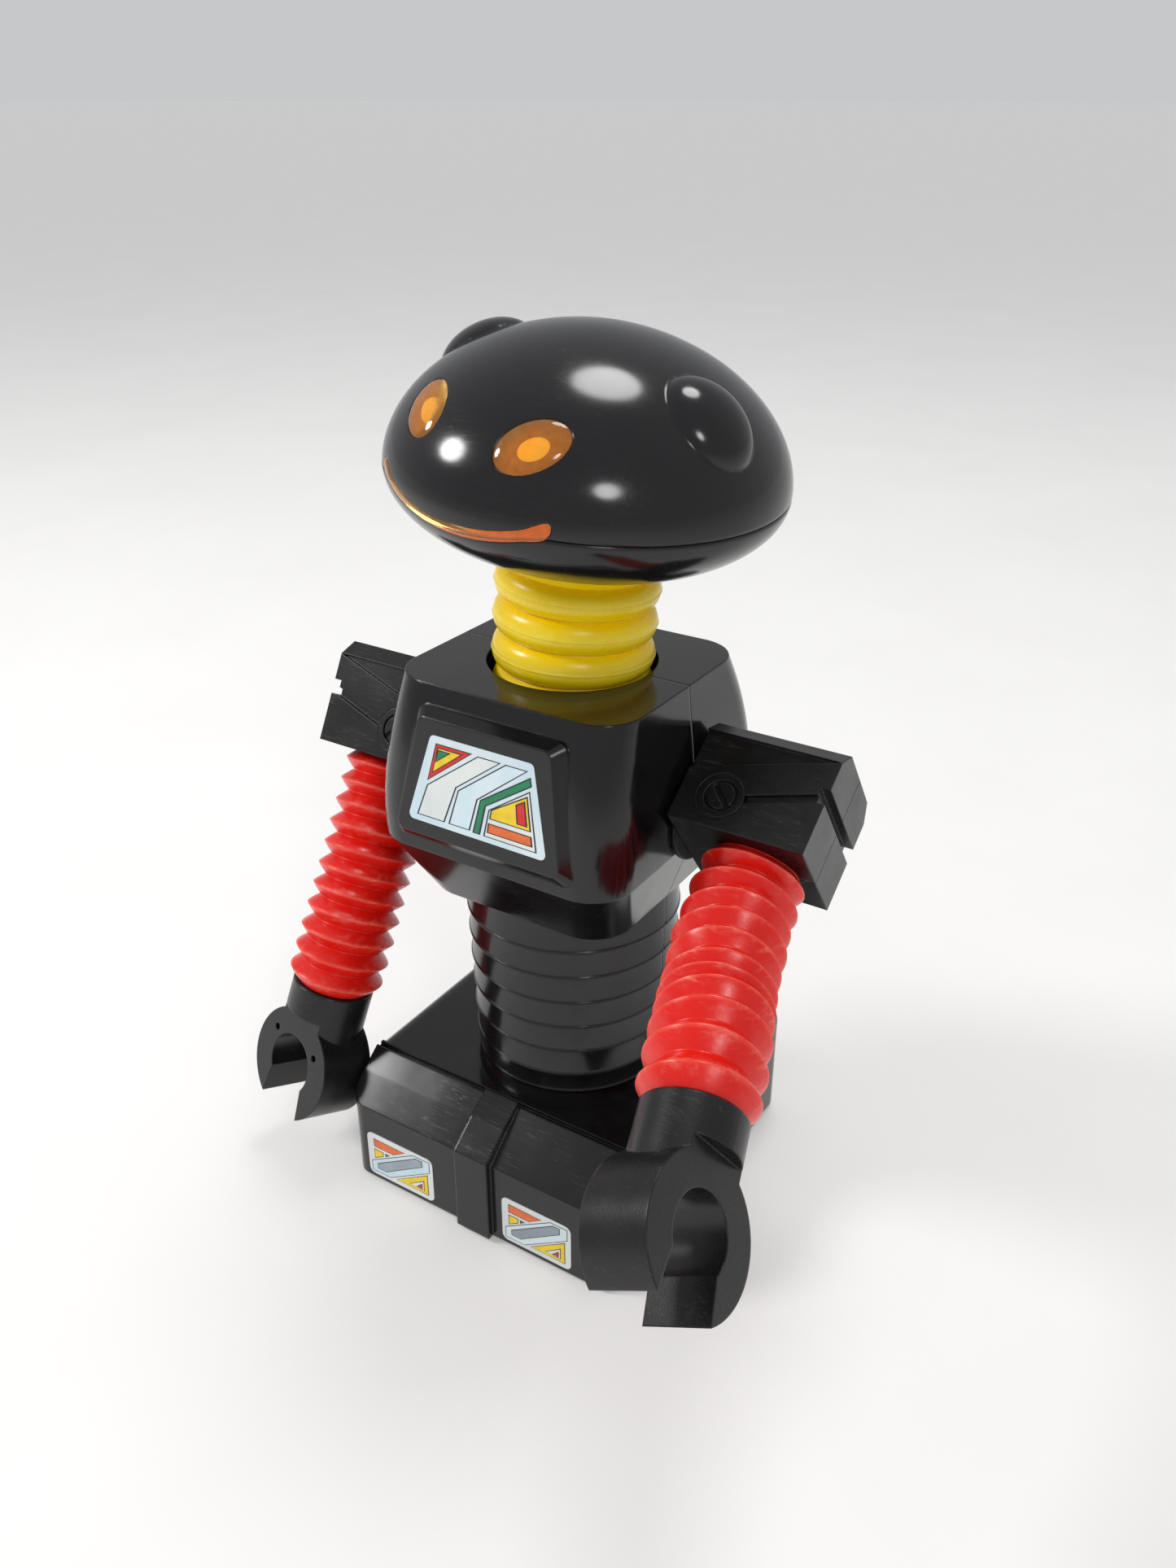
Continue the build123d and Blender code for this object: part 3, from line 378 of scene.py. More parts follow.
def finished(obj, body, slot, replaced=(), material=None, smooth=True, sharp=None):
    """Gives a piece its material (the slot's, unless another is named), replaced nodes and body; sharp is
    the least angle of a kept edge.
    """
    obj.data.materials.clear()
    obj.data.materials.append(MATS[material or slot])
    for polygon in obj.data.polygons:
        polygon.use_smooth = smooth
    if sharp:
        obj.data.set_sharp_from_angle(angle=math.radians(sharp))
    if replaced:
        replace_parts(obj, *replaced)
    if body:
        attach(obj, body)
    return obj


def new_mesh(name, points, faces, crest=None):
    """Adds a mesh to the scene; crest is each point's height on its fold, for the material."""
    mesh = bpy.data.meshes.new(name)
    mesh.from_pydata([tuple(p) for p in points], [], faces)
    mesh.validate()
    if crest is not None:
        values = mesh.attributes.new("crest", "FLOAT", "POINT")
        values.data.foreach_set("value", np.asarray(crest, np.float32))
    obj = bpy.data.objects.new(name, mesh)
    bpy.context.scene.collection.objects.link(obj)
    return obj


def tube_faces(rows, columns, closed_rows=False):
    """Quads between rings of points; closed_rows joins the last ring to the first."""
    faces = []
    for i in range(rows if closed_rows else rows - 1):
        a, b = i * columns, (i + 1) % rows * columns
        for j in range(columns):
            k = (j + 1) % columns
            faces.append((a + j, a + k, b + k, b + j))
    return faces


def fix_normals(obj):
    """Turns every face outwards."""
    bm = bmesh.new()
    bm.from_mesh(obj.data)
    bmesh.ops.recalc_face_normals(bm, faces=bm.faces)
    bm.to_mesh(obj.data)
    bm.free()


def closed_up(obj):
    """Welds points that meet and turns every face outwards."""
    bm = bmesh.new()
    bm.from_mesh(obj.data)
    bmesh.ops.remove_doubles(bm, verts=bm.verts, dist=1e-7)
    bmesh.ops.holes_fill(bm, edges=bm.edges)
    bmesh.ops.recalc_face_normals(bm, faces=bm.faces)
    bm.to_mesh(obj.data)
    bm.free()


# Head ----------------------------------------------------------------------------

def dome_r(z):
    """Radius of the head's skin at a height."""
    if z >= 0:
        return HEAD_R * max(0.0, 1 - (z / DOME) ** DOME_POWER) ** (1 / DOME_POWER)
    return HEAD_R * math.sqrt(max(0.0, 1 - (z / BOWL) ** 2))


def skin_point(t, angle):
    """Head's outer skin: t is 0 at the rim, pi/2 on top and negative below the rim."""
    if t >= 0:
        r, z = HEAD_R * math.cos(t) ** (2 / DOME_POWER), DOME * math.sin(t) ** (2 / DOME_POWER)
    else:
        r, z = HEAD_R * math.cos(t), BOWL * math.sin(t)
    return Vector((r * math.sin(angle), -r * math.cos(angle), z))


def skin_normal(p):
    """The direction straight out of the head's skin at a point on it."""
    r = math.hypot(p.x, p.y)
    if p.z >= 0:
        up = (p.z / DOME) ** (DOME_POWER - 1) / DOME
        out = (r / HEAD_R) ** (DOME_POWER - 1) / HEAD_R
    else:
        up, out = p.z / BOWL ** 2, r / HEAD_R ** 2
    if r < 1e-6:
        return Vector((0, 0, 1))
    return Vector((out * p.x / r, out * p.y / r, up)).normalized()


def height_t(z):
    """The t of skin_point at a height."""
    if z >= 0:
        return math.asin(min(1.0, (z / DOME) ** (DOME_POWER / 2)))
    return math.asin(max(-1.0, z / BOWL))


def skin_frame(z, angle, slant):
    """Point on the skin with two directions along it, turned by slant, and the one out of it."""
    p = skin_point(height_t(z), math.radians(angle))
    n = skin_normal(p)
    a = math.radians(angle)
    x = Vector((math.cos(a), math.sin(a), 0))
    x.rotate(Matrix.Rotation(math.radians(slant), 3, n))
    return p, x, n.cross(x), n


def mouth_line(degrees_off):
    """Height of the smile at an angle from the middle."""
    return MOUTH_LOW + MOUTH_RISE * (degrees_off / MOUTH_ANGLE) ** 2


def mouth_stations(grow):
    """Angles along the mouth with its half height there; the ends are round."""
    limit = MOUTH_ANGLE + math.degrees((MOUTH_END + grow) / HEAD_R)
    end_steps = 12
    stations = []
    for k in range(end_steps + 1):
        a = math.pi / 2 * k / end_steps
        back = math.degrees((MOUTH_END + grow) / HEAD_R * (1 - math.cos(a)))
        stations.append((limit - back, (MOUTH_END + grow) * math.sin(a)))
    steps = 90
    last = stations[-1][0]
    for k in range(1, steps + 1):
        off = last * (1 - k / steps)
        ease = max(0.0, 1 - (last - off) / MOUTH_SWELL)
        ease = ease * ease * (3 - 2 * ease)
        stations.append((off, MOUTH_HALF + grow + (MOUTH_END - MOUTH_HALF) * ease))
    return [(-off, half) for off, half in stations] + stations[-2::-1]


def mouth_band(name, grow, front, back):
    """Closed band along the smile.

    front gives the height above the skin for a share across the band from -1 to 1, and back is one height.
    """
    rows = 9
    points = []
    stations = mouth_stations(grow)
    for off, half in stations:
        out, inward = [], []
        for i in range(rows):
            v = -1 + 2 * i / (rows - 1)
            p = skin_point(height_t(mouth_line(off) + v * half), math.radians(off))
            n = skin_normal(p)
            out.append(p + n * front(v))
            inward.append(p + n * back)
        points.extend(out + inward[::-1])
    obj = new_mesh(name, [HEAD @ (p * MM) for p in points], tube_faces(len(stations), 2 * rows))
    closed_up(obj)
    return obj


def ear_height(p, ears):
    """How far the ear bumps lift the skin at a point."""
    for centre, x, y, n in ears:
        d = p - centre
        rho = math.hypot(d.dot(x) / EAR_HALF[1], d.dot(y) / EAR_HALF[0])
        if rho < 1 and d.dot(n) > -EAR_DEPTH:
            return EAR_PROUD * (1 - rho ** EAR_POWERS[0]) ** EAR_POWERS[1]
    return 0.0


def eye_cutter(side):
    """Oval prism that opens the shell for the lens."""
    centre, x, y, n = skin_frame(EYE_Z, SIDES[side] * EYE_ANGLE, SIDES[side] * EYE_SLANT)
    points = []
    for height in EYE_CUT:
        for j in range(EYE_COLUMNS):
            a = 2 * math.pi * j / EYE_COLUMNS
            rim = centre + x * EYE_HALF[0] * math.cos(a) + y * EYE_HALF[1] * math.sin(a)
            points.append(rim + n * height)
    obj = new_mesh("eye_cutter_" + side, [HEAD @ (p * MM) for p in points], tube_faces(2, EYE_COLUMNS))
    closed_up(obj)
    return obj


def cut(obj, cutters):
    """Takes the cutters out of the piece and leaves a plain mesh."""
    for tool in cutters:
        step = obj.modifiers.new("cut", "BOOLEAN")
        step.operation = "DIFFERENCE"
        step.solver = "EXACT"
        step.object = tool
    graph = bpy.context.evaluated_depsgraph_get()
    mesh = bpy.data.meshes.new_from_object(obj.evaluated_get(graph))
    obj.modifiers.clear()
    obj.data = mesh


def head_piece(name, upper):
    """One head shell: rows of points up the outside and back down the inside."""
    columns, rows, inner_rows = 720, (120 if upper else 34), (24 if upper else 10)
    roll_rate = 100 if upper else 40
    stop = math.pi / 2 - CROWN_GAP if upper else height_t(-BOWL_CUT)
    gap = SEAM / 2 * (1 if upper else -1)
    ears = [skin_frame(EAR_Z, sign * EAR_ANGLE, 0) for sign in (-1, 1)]
    profile = [[None] * columns for _ in range(rows + inner_rows)]
    for j in range(columns):
        off = (j / columns) * 360 - 180
        dip = min(1.0, max(0.0, (MOUTH_ANGLE - MOUTH_FADE[0] - abs(off)) / MOUTH_FADE[1]))
        start = height_t(mouth_line(off) * dip + gap * (1 - dip))
        angle = math.radians(off)
        for i in range(rows):
            share = i / (rows - 1)
            p = skin_point(start + (stop - start) * share, angle)
            if upper:
                p += skin_normal(p) * ear_height(p, ears)
            roll = max(0.0, 1 - share * roll_rate) * EDGE_ROLL
            profile[i][j] = p - skin_normal(p) * roll
        for i in range(inner_rows):
            share = 1 - i / (inner_rows - 1)
            p = skin_point(start + (stop - start) * share, angle)
            profile[rows + i][j] = p - skin_normal(p) * SHELL
    if not upper:
        angles = [math.radians(j / columns * 360 - 180) for j in range(columns)]
        hole = [Vector((math.sin(a), -math.cos(a), 0)) * BOWL_HOLE for a in angles]
        profile[rows] = [p + Vector((0, 0, SHELL - BOWL_CUT)) for p in hole]
        profile.insert(rows, [p + Vector((0, 0, -BOWL_CUT)) for p in hole])
    points = [p for ring in profile for p in ring]
    if upper:
        faces = crown_faces(rows, inner_rows, columns)
    else:
        faces = tube_faces(len(profile), columns, True)
    obj = new_mesh(name, [HEAD @ (p * MM) for p in points], faces)
    fix_normals(obj)
    return obj


def crown_faces(rows, inner_rows, columns):
    """The upper shell's faces: both skins, the strip that joins their feet and a small cap on each."""
    faces = tube_faces(rows, columns)
    faces += [tuple(v + rows * columns for v in f) for f in tube_faces(inner_rows, columns)]
    inner_foot = (rows + inner_rows - 1) * columns
    for j in range(columns):
        k = (j + 1) % columns
        faces.append((j, inner_foot + j, inner_foot + k, k))
    faces += [tuple((rows - 1) * columns + j for j in range(columns)),
              tuple(rows * columns + j for j in range(columns))]
    return faces


def make_head():
    mouth = mouth_band("mouth_cutter", LENS_GAP, lambda v: MOUTH_CUT[1], MOUTH_CUT[0])
    eyes = [eye_cutter(side) for side in SIDES]
    upper = head_piece("head_upper_skin", True)
    cut(upper, eyes + [mouth])
    lower = head_piece("head_lower_skin", False)
    cut(lower, [mouth])
    for tool in eyes + [mouth]:
        bpy.data.objects.remove(tool)
    for obj, node in ((upper, "head_upper"), (lower, "head_lower")):
        finished(obj, "head", "gloss_black", [node], sharp=35)


def on_skin(p, n):
    """The skin point straight along n from p, found by halving."""
    low, high = -12.0, 12.0
    for _ in range(30):
        middle = (low + high) / 2
        q = p + n * middle
        if math.hypot(q.x, q.y) > dome_r(q.z):
            high = middle
        else:
            low = middle
    return p + n * (low + high) / 2


def eye_part(name, side, shrink, rings):
    """Closed body over the eye's oval; rings are (share of the radius, height above the skin)."""
    centre, x, y, n = skin_frame(EYE_Z, SIDES[side] * EYE_ANGLE, SIDES[side] * EYE_SLANT)
    points = []
    for share, height in rings:
        for j in range(EYE_COLUMNS):
            a = 2 * math.pi * j / EYE_COLUMNS
            p = centre + x * (EYE_HALF[0] - shrink) * share * math.cos(a)
            p += y * (EYE_HALF[1] - shrink) * share * math.sin(a)
            points.append(on_skin(p, n) + n * height)
    faces = tube_faces(len(rings), EYE_COLUMNS)
    obj = new_mesh(f"{name}_{side}", [HEAD @ (p * MM) for p in points], faces)
    closed_up(obj)
    return obj


def make_eye(side):
    """Domed lens with a cup behind it and a yellow core in the cup; the cup and the core glow with painted
    light that stands in for light coming in through the lens.
    """
    shares = (0.0, 0.15, 0.3, 0.45, 0.6, 0.7, 0.8, 0.87, 0.93, 0.97, 0.99, 1.0)
    front = [(share, LENS_SET + LENS_BULGE * (1 - share ** 2.4) ** 0.7) for share in shares]
    back = [(1.0, -1.3), (0.9, -1.5), (0.6, -1.6), (0.3, -1.6), (0.0, -1.6)]
    lens = eye_part("eye_lens_body", side, LENS_GAP, front + back)
    finished(lens, "head", "amber_lens", ["eye_lens_" + side])
    cup = [(1.0, -1.7), (0.98, -2.4), (0.7, -2.9), (0.3, -3.0), (0.0, -3.0)]
    liner = eye_part("eye_liner", side, 0.1, cup)
    finished(liner, "head", "amber_lens", material="eye_cup")
    bead = [(0.0, -1.7), (0.2, -1.72), (0.32, -1.85), (0.4, -2.2), (0.44, -2.95)]
    core = eye_part("eye_core", side, 0.0, bead)
    finished(core, "head", "yellow_core", ["eye_pupil_" + side])


def make_mouth():
    """Amber strip that follows the smile, a little proud of the skin, with a liner behind it that glows with
    painted light.
    """
    strip = mouth_band("mouth_strip", 0.0, lambda v: 0.22 * math.sqrt(1 - v * v) - 0.06, -1.9)
    finished(strip, "head", "amber_lens", ["mouth_lens"], sharp=50)
    liner = mouth_band("mouth_liner", 0.0, lambda v: -2.1, -2.5)
    finished(liner, "head", "amber_lens", material="mouth_painted_glow")


# Bellows --------------------------------------------------------------------------

def bezier(start, leave, end, arrive):
    """Curve between two places that leaves and arrives along the given directions."""
    reach = (end - start).length / 3
    a, b = start + leave * reach, end - arrive * reach

    def at(t):
        u = 1 - t
        point = start * u ** 3 + a * 3 * u * u * t + b * 3 * u * t * t + end * t ** 3
        slope = (a - start) * u * u + (b - a) * 2 * u * t + (end - b) * t * t
        return point, slope.normalized()
    return at


def by_length(path, count=400):
    """Turns a distance along the path into its parameter, and gives the path's length."""
    places = [path(k / count)[0] for k in range(count + 1)]
    sums = [0.0]
    for p, q in zip(places, places[1:]):
        sums.append(sums[-1] + (q - p).length)
    shares = np.linspace(0, 1, count + 1)
    return lambda s: float(np.interp(s, sums, shares)), sums[-1]


def fold_rise(x, power, bluntness, below_lip):
    """Height of a fold, 1 over a narrow lip at its crest and 0 in the valleys."""
    lip = 0.06
    if x <= lip:
        return 1.0
    return (1 - ((x - lip) / (1 - lip)) ** power) ** bluntness * below_lip


def bellows(name, path, crests, radii, cuff, power, bluntness, below_lip, wall):
    """Folded tube along a path. Each crest has its place, extra radius, lean and the side that it leans to.

    cuff is the plain end before the folds, as (length back, radius).
    """
    find, length = by_length(path)
    valley, crest = radii
    marks = [0.0] + [(a[0] + b[0]) / 2 for a, b in zip(crests, crests[1:])] + [1.0]
    profile = [(-s, r, 0.0, 0.0, 0.0) for s, r in cuff]
    steps = 16
    for (place, extra, lean, turn), low, high in zip(crests, marks, marks[1:]):
        for k in range(-steps, steps):
            x = k / steps
            s = place + x * ((high - place) if x > 0 else (place - low))
            rise = fold_rise(abs(x), power, bluntness, below_lip)
            profile.append((s * length, valley + (crest + extra - valley) * rise, rise, lean * rise, turn))
    profile.append((length, valley, 0.0, 0.0, 0.0))
    columns = 128
    x_axis = Vector((1, 0, 0))
    points, shade = [], []
    outer, inner = [], []
    for s, r, rise, lean, turn in profile:
        point, along = path(find(max(0.0, s)))
        point = point + along * min(0.0, s)
        x = (x_axis - along * x_axis.dot(along)).normalized()
        y = along.cross(x)
        for store, radius in ((outer, r), (inner, r - wall)):
            for a in (2 * math.pi * j / columns for j in range(columns)):
                ring = (x * math.cos(a) + y * math.sin(a)) * radius
                store.append(point + ring + along * lean * math.cos(a - turn))
        shade.extend([rise] * columns)
    rows = len(profile)
    back = [inner[i * columns + j] for i in reversed(range(rows)) for j in range(columns)]
    # The crest values drive the highlight painted along the crests and the handling marks; the inner wall
    # gets 0.4 of them.
    dim = [shade[i * columns + j] * 0.4 for i in reversed(range(rows)) for j in range(columns)]
    obj = new_mesh(name, [p * MM for p in outer + back], tube_faces(2 * rows, columns, True), shade + dim)
    fix_normals(obj)
    return obj


def arm_path(side):
    """The arm's centre line from under the shoulder block to the wrist, and where it starts."""
    a = math.radians(SWING[side])
    leave = Vector((0, -math.sin(a), -math.cos(a)))
    start = Vector((SIDES[side] * ARM_X, 0, PIVOT_Z)) + leave * BLOCK_LOW
    return bezier(start, leave, Vector(WRIST[side]), Vector(CLAW_ALONG[side]).normalized()), start


def fold_places(count, spread, seed, squeezed=None):
    """Folds as (share of the length, extra radius, lean, side), uneven by spread.

    squeezed is the first of a pair of folds that are pressed together.
    """
    rng = random.Random(seed)
    widths = [1 + spread * (rng.random() - 0.5) for _ in range(count)]
    if squeezed is not None:
        widths[squeezed] *= SQUEEZE[0]
        widths[squeezed + 1] *= SQUEEZE[1]
    total = sum(widths)
    at, places = 0.0, []
    for w in widths:
        extra = spread * 1.6 * (rng.random() - 0.6)
        lean = spread * 3.0 * (rng.random() - 0.5)
        places.append(((at + w / 2) / total, extra, lean, rng.random() * 2 * math.pi))
        at += w
    return places


def make_arm(side):
    """Red bellows. The left arm is bent further, so its folds are less even."""
    path, start = arm_path(side)
    left = side == "left"
    crests = fold_places(11, spread=0.34 if left else 0.12, seed=5, squeezed=6 if left else None)
    obj = bellows("arm_bellows_skin_" + side, path, crests, ARM_RADII, ARM_CUFF,
                  power=1.12, bluntness=1.0, below_lip=0.95, wall=0.9)
    finished(obj, None, "red_pe", ["arm_bellows_" + side])
    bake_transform(obj)


def make_neck():
    """Yellow bellows, leaning with the head."""
    top = (HEAD @ Vector((0, 0, -NECK_DROP * MM))) / MM
    up = (HEAD.to_3x3() @ Vector((0, 0, 1))).normalized()
    start = Vector((0, 0, NECK_START))
    path = bezier(start, Vector((0, 0, 1)), top, up)
    crests = fold_places(5, spread=0.10, seed=3)
    obj = bellows("neck_bellows_skin", path, crests, NECK_RADII, NECK_CUFF,
                  power=2.1, bluntness=0.62, below_lip=0.92, wall=1.1)
    finished(obj, None, "yellow_pe", ["neck_bellows"])
    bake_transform(obj)


# Waist ---------------------------------------------------------------------------

def waist_profile():
    """Outside of the drum from the deck up: each band ends below in a rounded lip over a fine groove."""
    edges = [WAIST_TOP, *WAIST_LEDGES, DECK_TOP + 0.1]
    radius = WAIST_TOP_R
    lip_steps = 9
    points = [(SPIGOT_R, SPIGOT_TOP), (SPIGOT_R, WAIST_TOP - 0.02)]
    for upper, lower in zip(edges, edges[1:]):
        points.append((radius, upper - 0.05))
        points.append((radius + 0.02, upper - 0.5))
        lip = radius + FLARE
        points.append((lip - 0.06, lower + 2 * LIP + 0.25))
        for k in range(lip_steps + 1):
            a = math.radians(75 - 165 * k / lip_steps)
            points.append((lip - 0.05 + LIP * math.cos(a), lower + LIP + LIP * math.sin(a)))
        radius += FLARE - LEDGE
        points.append((radius - 0.25, lower - 0.1))
        points.append((radius - 0.1, lower - 0.35))
    return points[::-1]


def make_waist():
    """The drum's two half shells, turned from one profile, with a fine gap between them."""
    outer = waist_profile()
    inner = [(SPIGOT_R - WAIST_WALL, SPIGOT_TOP), (SPIGOT_R - WAIST_WALL, WAIST_TOP - 4),
             (outer[2][0] - WAIST_WALL, outer[0][1])]
    profile = outer + inner
    count, width = len(profile), WAIST_STEPS + 1
    faces = []
    for i in range(count):
        here, above = i * width, (i + 1) % count * width
        faces += [(here + j, here + j + 1, above + j + 1, above + j) for j in range(WAIST_STEPS)]
    faces += [tuple(i * width for i in range(count)), tuple(i * width + WAIST_STEPS for i in range(count))]
    for name, turn in (("waist_front", math.pi), ("waist_rear", 0.0)):
        points = []
        for r, z in profile:
            gap = math.asin(SEAM / 2 / r)
            for j in range(width):
                a = turn + gap + (math.pi - 2 * gap) * j / WAIST_STEPS
                points.append(Vector((r * math.cos(a), r * math.sin(a), z)) * MM)
        half = new_mesh(name + "_lathed", points, faces)
        fix_normals(half)
        finished(half, "base", slot_of(name), [name], sharp=40)


# Foil stickers -------------------------------------------------------------------

def grown(points, by):
    """The outline moved outwards by a distance, for the dark line round a shape."""
    mitre_floor = 0.35
    area = sum(a[0] * b[1] - b[0] * a[1] for a, b in zip(points, points[1:] + points[:1]))
    ring = points if area > 0 else points[::-1]
    out = []
    for k, here in enumerate(ring):
        before, after = ring[k - 1], ring[(k + 1) % len(ring)]
        n = []
        for a, b in ((before, here), (here, after)):
            d = math.hypot(b[0] - a[0], b[1] - a[1])
            n.append(((b[1] - a[1]) / d, (a[0] - b[0]) / d))
        share = by / max(mitre_floor, 1 + n[0][0] * n[1][0] + n[0][1] * n[1][1])
        out.append((here[0] + (n[0][0] + n[1][0]) * share, here[1] + (n[0][1] + n[1][1]) * share))
    return out


def rounded(width, height, radius):
    """Rectangle with round corners, from its lower left corner at the origin."""
    points = []
    right, top = width - radius, height - radius
    for cx, cy, start in ((right, radius, -90), (right, top, 0), (radius, top, 90), (radius, radius, 180)):
        for k in range(9):
            a = math.radians(start + 90 * k / 8)
            points.append((cx + radius * math.cos(a), cy + radius * math.sin(a)))
    return points


def layer(name, place, outlines, low, high, material, replaced=()):
    """Thin prisms on a sticker; place turns a point (across, up, out) in mm into the frame."""
    points, faces = [], []
    for outline in outlines:
        first, count = len(points), len(outline)
        top = first + count
        points += [place(x, y, low) for x, y in outline] + [place(x, y, high) for x, y in outline]
        faces += [tuple(reversed(range(first, top))), tuple(range(top, top + count))]
        for k in range(count):
            after = (k + 1) % count
            faces.append((first + k, first + after, top + after, top + k))
    obj = new_mesh(name, [p * MM for p in points], faces)
    fix_normals(obj)
    return finished(obj, "base", "foil", replaced, material, smooth=False)


def printed(name, place, shapes, line, low):
    """Coloured shapes with a dark line round each. A shape is (ink, outline, level)."""
    for level in sorted({shape[2] for shape in shapes}):
        here = [shape for shape in shapes if shape[2] == level]
        base = low + 0.06 * level
        lines = [grown(list(shape[1]), line) for shape in here]
        layer(f"{name}_lines_{level}", place, lines, base - 0.05, base + 0.03, "ink_black")
        for ink in sorted({shape[0] for shape in here}):
            outlines = [list(shape[1]) for shape in here if shape[0] == ink]
            layer(f"{name}_{ink}_{level}", place, outlines, base - 0.04, base + 0.05, ink)


def chest_place(x, y, out):
    """Point on the chest sticker: x and y are shares across and up it, out is the height in mm."""
    half_high, half_low, high, low = CHEST_STICKER
    up = low + (high - low) * y
    half = half_low + (half_high - half_low) * y
    along = (Vector((0, *CHEST_TOP)) - Vector((0, *CHEST_LOW))).normalized()
    middle = (Vector((0, *CHEST_TOP)) + Vector((0, *CHEST_LOW))) / 2
    return middle + along * up + Vector((half * (2 * x - 1), 0, 0)) + Vector((0, -along.z, along.y)) * out


def chest_print():
    """Generic panel: a nested triangle, two bent bands, an angled line and a framed block."""
    shapes = [
        ("ink_red", ((0.08, 0.50), (0.40, 0.91), (0.08, 0.91)), 0),
        ("ink_yellow", ((0.105, 0.60), (0.315, 0.87), (0.105, 0.87)), 1),
        ("ink_green", ((0.115, 0.73), (0.205, 0.845), (0.115, 0.845)), 2),
        ("foil_border", ((0.07, 0.08), (0.26, 0.08), (0.31, 0.50),
                         (0.67, 0.90), (0.48, 0.90), (0.09, 0.43)), 0),
        ("foil_sky", ((0.31, 0.08), (0.45, 0.08), (0.49, 0.44),
                      (0.92, 0.90), (0.74, 0.90), (0.345, 0.47)), 0),
        ("ink_green", ((0.49, 0.07), (0.525, 0.07), (0.56, 0.40),
                       (0.95, 0.76), (0.95, 0.83), (0.53, 0.44)), 0),
        ("foil_border", ((0.57, 0.07), (0.93, 0.07), (0.93, 0.68), (0.60, 0.36)), 0),
        ("ink_yellow", ((0.61, 0.28), (0.905, 0.28), (0.905, 0.62), (0.62, 0.37)), 1),
        ("ink_red", ((0.82, 0.32), (0.88, 0.32), (0.88, 0.56), (0.82, 0.51)), 2),
        ("ink_orange", ((0.595, 0.12), (0.905, 0.12), (0.905, 0.21), (0.60, 0.21)), 1),
    ]
    printed("chest_print", chest_place, shapes, CHEST_LINE, STICKER)


def bumper_print(side):
    """Pale rounded label with a diagonal band and blocks of colour on both sides of it."""
    x0, x1 = BUMPER_STICKERS[side]
    z0, z1 = BUMPER_STICKER_Z
    width, height = x1 - x0, z1 - z0

    def place(x, y, out):
        return Vector((x0 + x, BUMPER_FRONT - out, z0 + y))

    layer("bumper_label_" + side, place, [rounded(width, height, BUMPER_ROUND)], 0.0, STICKER, "foil_border",
          ["bumper_sticker_" + side])

    def inside(*shares):
        across, up = width - 2 * BUMPER_MARGIN, height - 2 * BUMPER_MARGIN
        return tuple((BUMPER_MARGIN + across * u, BUMPER_MARGIN + up * v) for u, v in shares)

    shapes = [
        ("foil_sky", inside((0.0, 0.0), (0.30, 0.0), (1.0, 0.72),
                            (1.0, 1.0), (0.74, 1.0), (0.0, 0.26)), 0),
        ("ink_grey", inside((0.10, 0.12), (0.24, 0.12), (0.88, 0.80),
                            (0.88, 0.94), (0.78, 0.94), (0.10, 0.24)), 1),
        ("ink_orange", inside((0.06, 0.94), (0.06, 0.74), (0.38, 0.74), (0.58, 0.94)), 0),
        ("ink_yellow", inside((0.06, 0.64), (0.06, 0.40), (0.20, 0.54), (0.20, 0.64)), 0),
        ("ink_green", inside((0.25, 0.64), (0.25, 0.58), (0.31, 0.64)), 0),
        ("ink_yellow", inside((0.42, 0.04), (0.96, 0.04), (0.96, 0.60)), 0),
        ("foil_border", inside((0.66, 0.12), (0.89, 0.12), (0.89, 0.38)), 1),
        ("ink_red", inside((0.78, 0.15), (0.86, 0.15), (0.86, 0.27)), 2),
    ]
    printed("bumper_print_" + side, place, shapes, BUMPER_LINE, STICKER)


def slot_of(node):
    """The material slot that the record gives a node."""
    for entry in frame["record"]["subparts"]:
        if entry["node"] == node:
            return entry["material_slot"]
    return "satin_black"


def paint_cad(carried):
    """Materials for the CAD pieces that aren't built again here."""
    for node in carried:
        obj = frame["nodes"][node]
        obj.data.materials.clear()
        obj.data.materials.append(MATS[slot_of(node)])
        for polygon in obj.data.polygons:
            polygon.use_smooth = True
        obj.data.set_sharp_from_angle(angle=math.radians(30))


# Stage ----------------------------------------------------------------------------

FLOOR_HALF = 60.0
SKY_LIGHT = 0.48
SKY_SEEN = 0.59
LIGHT_AIM = (0, 0, 0.13)
LIGHTS = (
    ("key", (-0.95, -0.62, 0.95), 0.35, 8),
    ("top", (-0.05, 0.42, 1.35), 0.45, 5),
    ("fill", (0.85, -0.80, 0.95), 0.30, 3),
)
CAMERA_AT = (0.18396, -0.28045, 0.30026)
CAMERA_TILT = 62.6
CAMERA_TURN = 32.54
CAMERA_LENS = 40.75


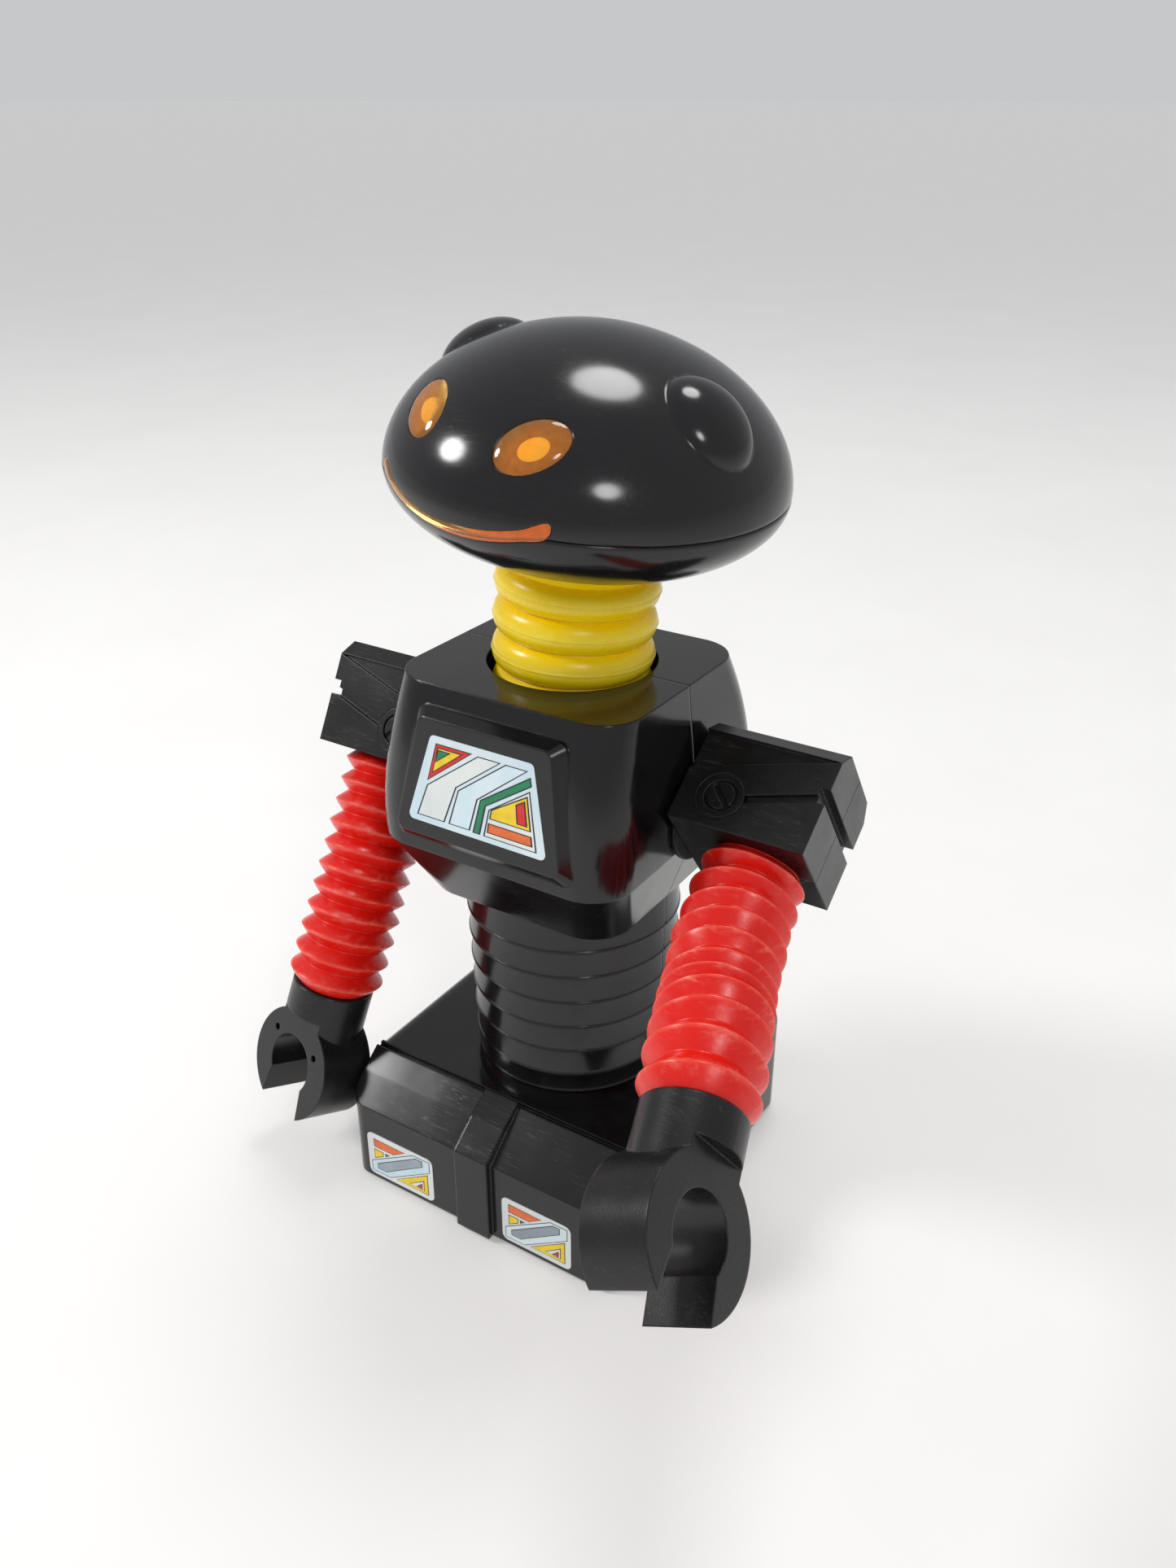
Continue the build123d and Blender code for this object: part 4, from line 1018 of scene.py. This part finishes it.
def make_floor():
    corners = [(-FLOOR_HALF, -FLOOR_HALF, 0), (FLOOR_HALF, -FLOOR_HALF, 0),
               (FLOOR_HALF, FLOOR_HALF, 0), (-FLOOR_HALF, FLOOR_HALF, 0)]
    floor = new_mesh("studio_floor", corners, [(0, 1, 2, 3)])
    floor.data.materials.append(floor_material())


def make_sky():
    """Even pale sky: one level lights the toy, and the camera sees a slightly brighter one."""
    world = bpy.data.worlds.new("studio")
    world.use_nodes = True
    background = world.node_tree.nodes["Background"]
    background.inputs["Color"].default_value = (0.97, 0.98, 1.0, 1)
    path = world.node_tree.nodes.new("ShaderNodeLightPath")
    level = world.node_tree.nodes.new("ShaderNodeMapRange")
    level.inputs["To Min"].default_value = SKY_LIGHT
    level.inputs["To Max"].default_value = SKY_SEEN
    world.node_tree.links.new(path.outputs["Is Camera Ray"], level.inputs["Value"])
    world.node_tree.links.new(level.outputs["Result"], background.inputs["Strength"])
    bpy.context.scene.world = world
    bpy.context.scene.view_settings.view_transform = "Standard"


def make_lights():
    """Round lamps, each as (name, place, size, power) and turned to the toy's middle."""
    for name, place, size, power in LIGHTS:
        light = bpy.data.lights.new(name, "AREA")
        light.shape = "DISK"
        light.size = size
        light.energy = power
        lamp = bpy.data.objects.new(name, light)
        lamp.location = place
        aim = Vector(LIGHT_AIM) - Vector(place)
        lamp.rotation_mode = "QUATERNION"
        lamp.rotation_quaternion = aim.to_track_quat("-Z", "Y")
        bpy.context.scene.collection.objects.link(lamp)


def make_camera():
    data = bpy.data.cameras.new("camera")
    data.lens = CAMERA_LENS
    data.sensor_width = 36
    data.sensor_fit = "HORIZONTAL"
    data.clip_start = 0.01
    cam = bpy.data.objects.new("camera", data)
    cam.location = CAMERA_AT
    cam.rotation_euler = (math.radians(CAMERA_TILT), 0, math.radians(CAMERA_TURN))
    bpy.context.scene.collection.objects.link(cam)
    bpy.context.scene.camera = cam


make_head()
for side in SIDES:
    make_eye(side)
    make_arm(side)
make_mouth()
make_neck()
make_waist()
chest_print()
for side in SIDES:
    bumper_print(side)
replaced = {n for o in bpy.data.objects for n in list(o.get("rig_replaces", []))}
paint_cad([n for n in frame["nodes"] if n not in replaced])
make_floor()
make_sky()
make_lights()
make_camera()
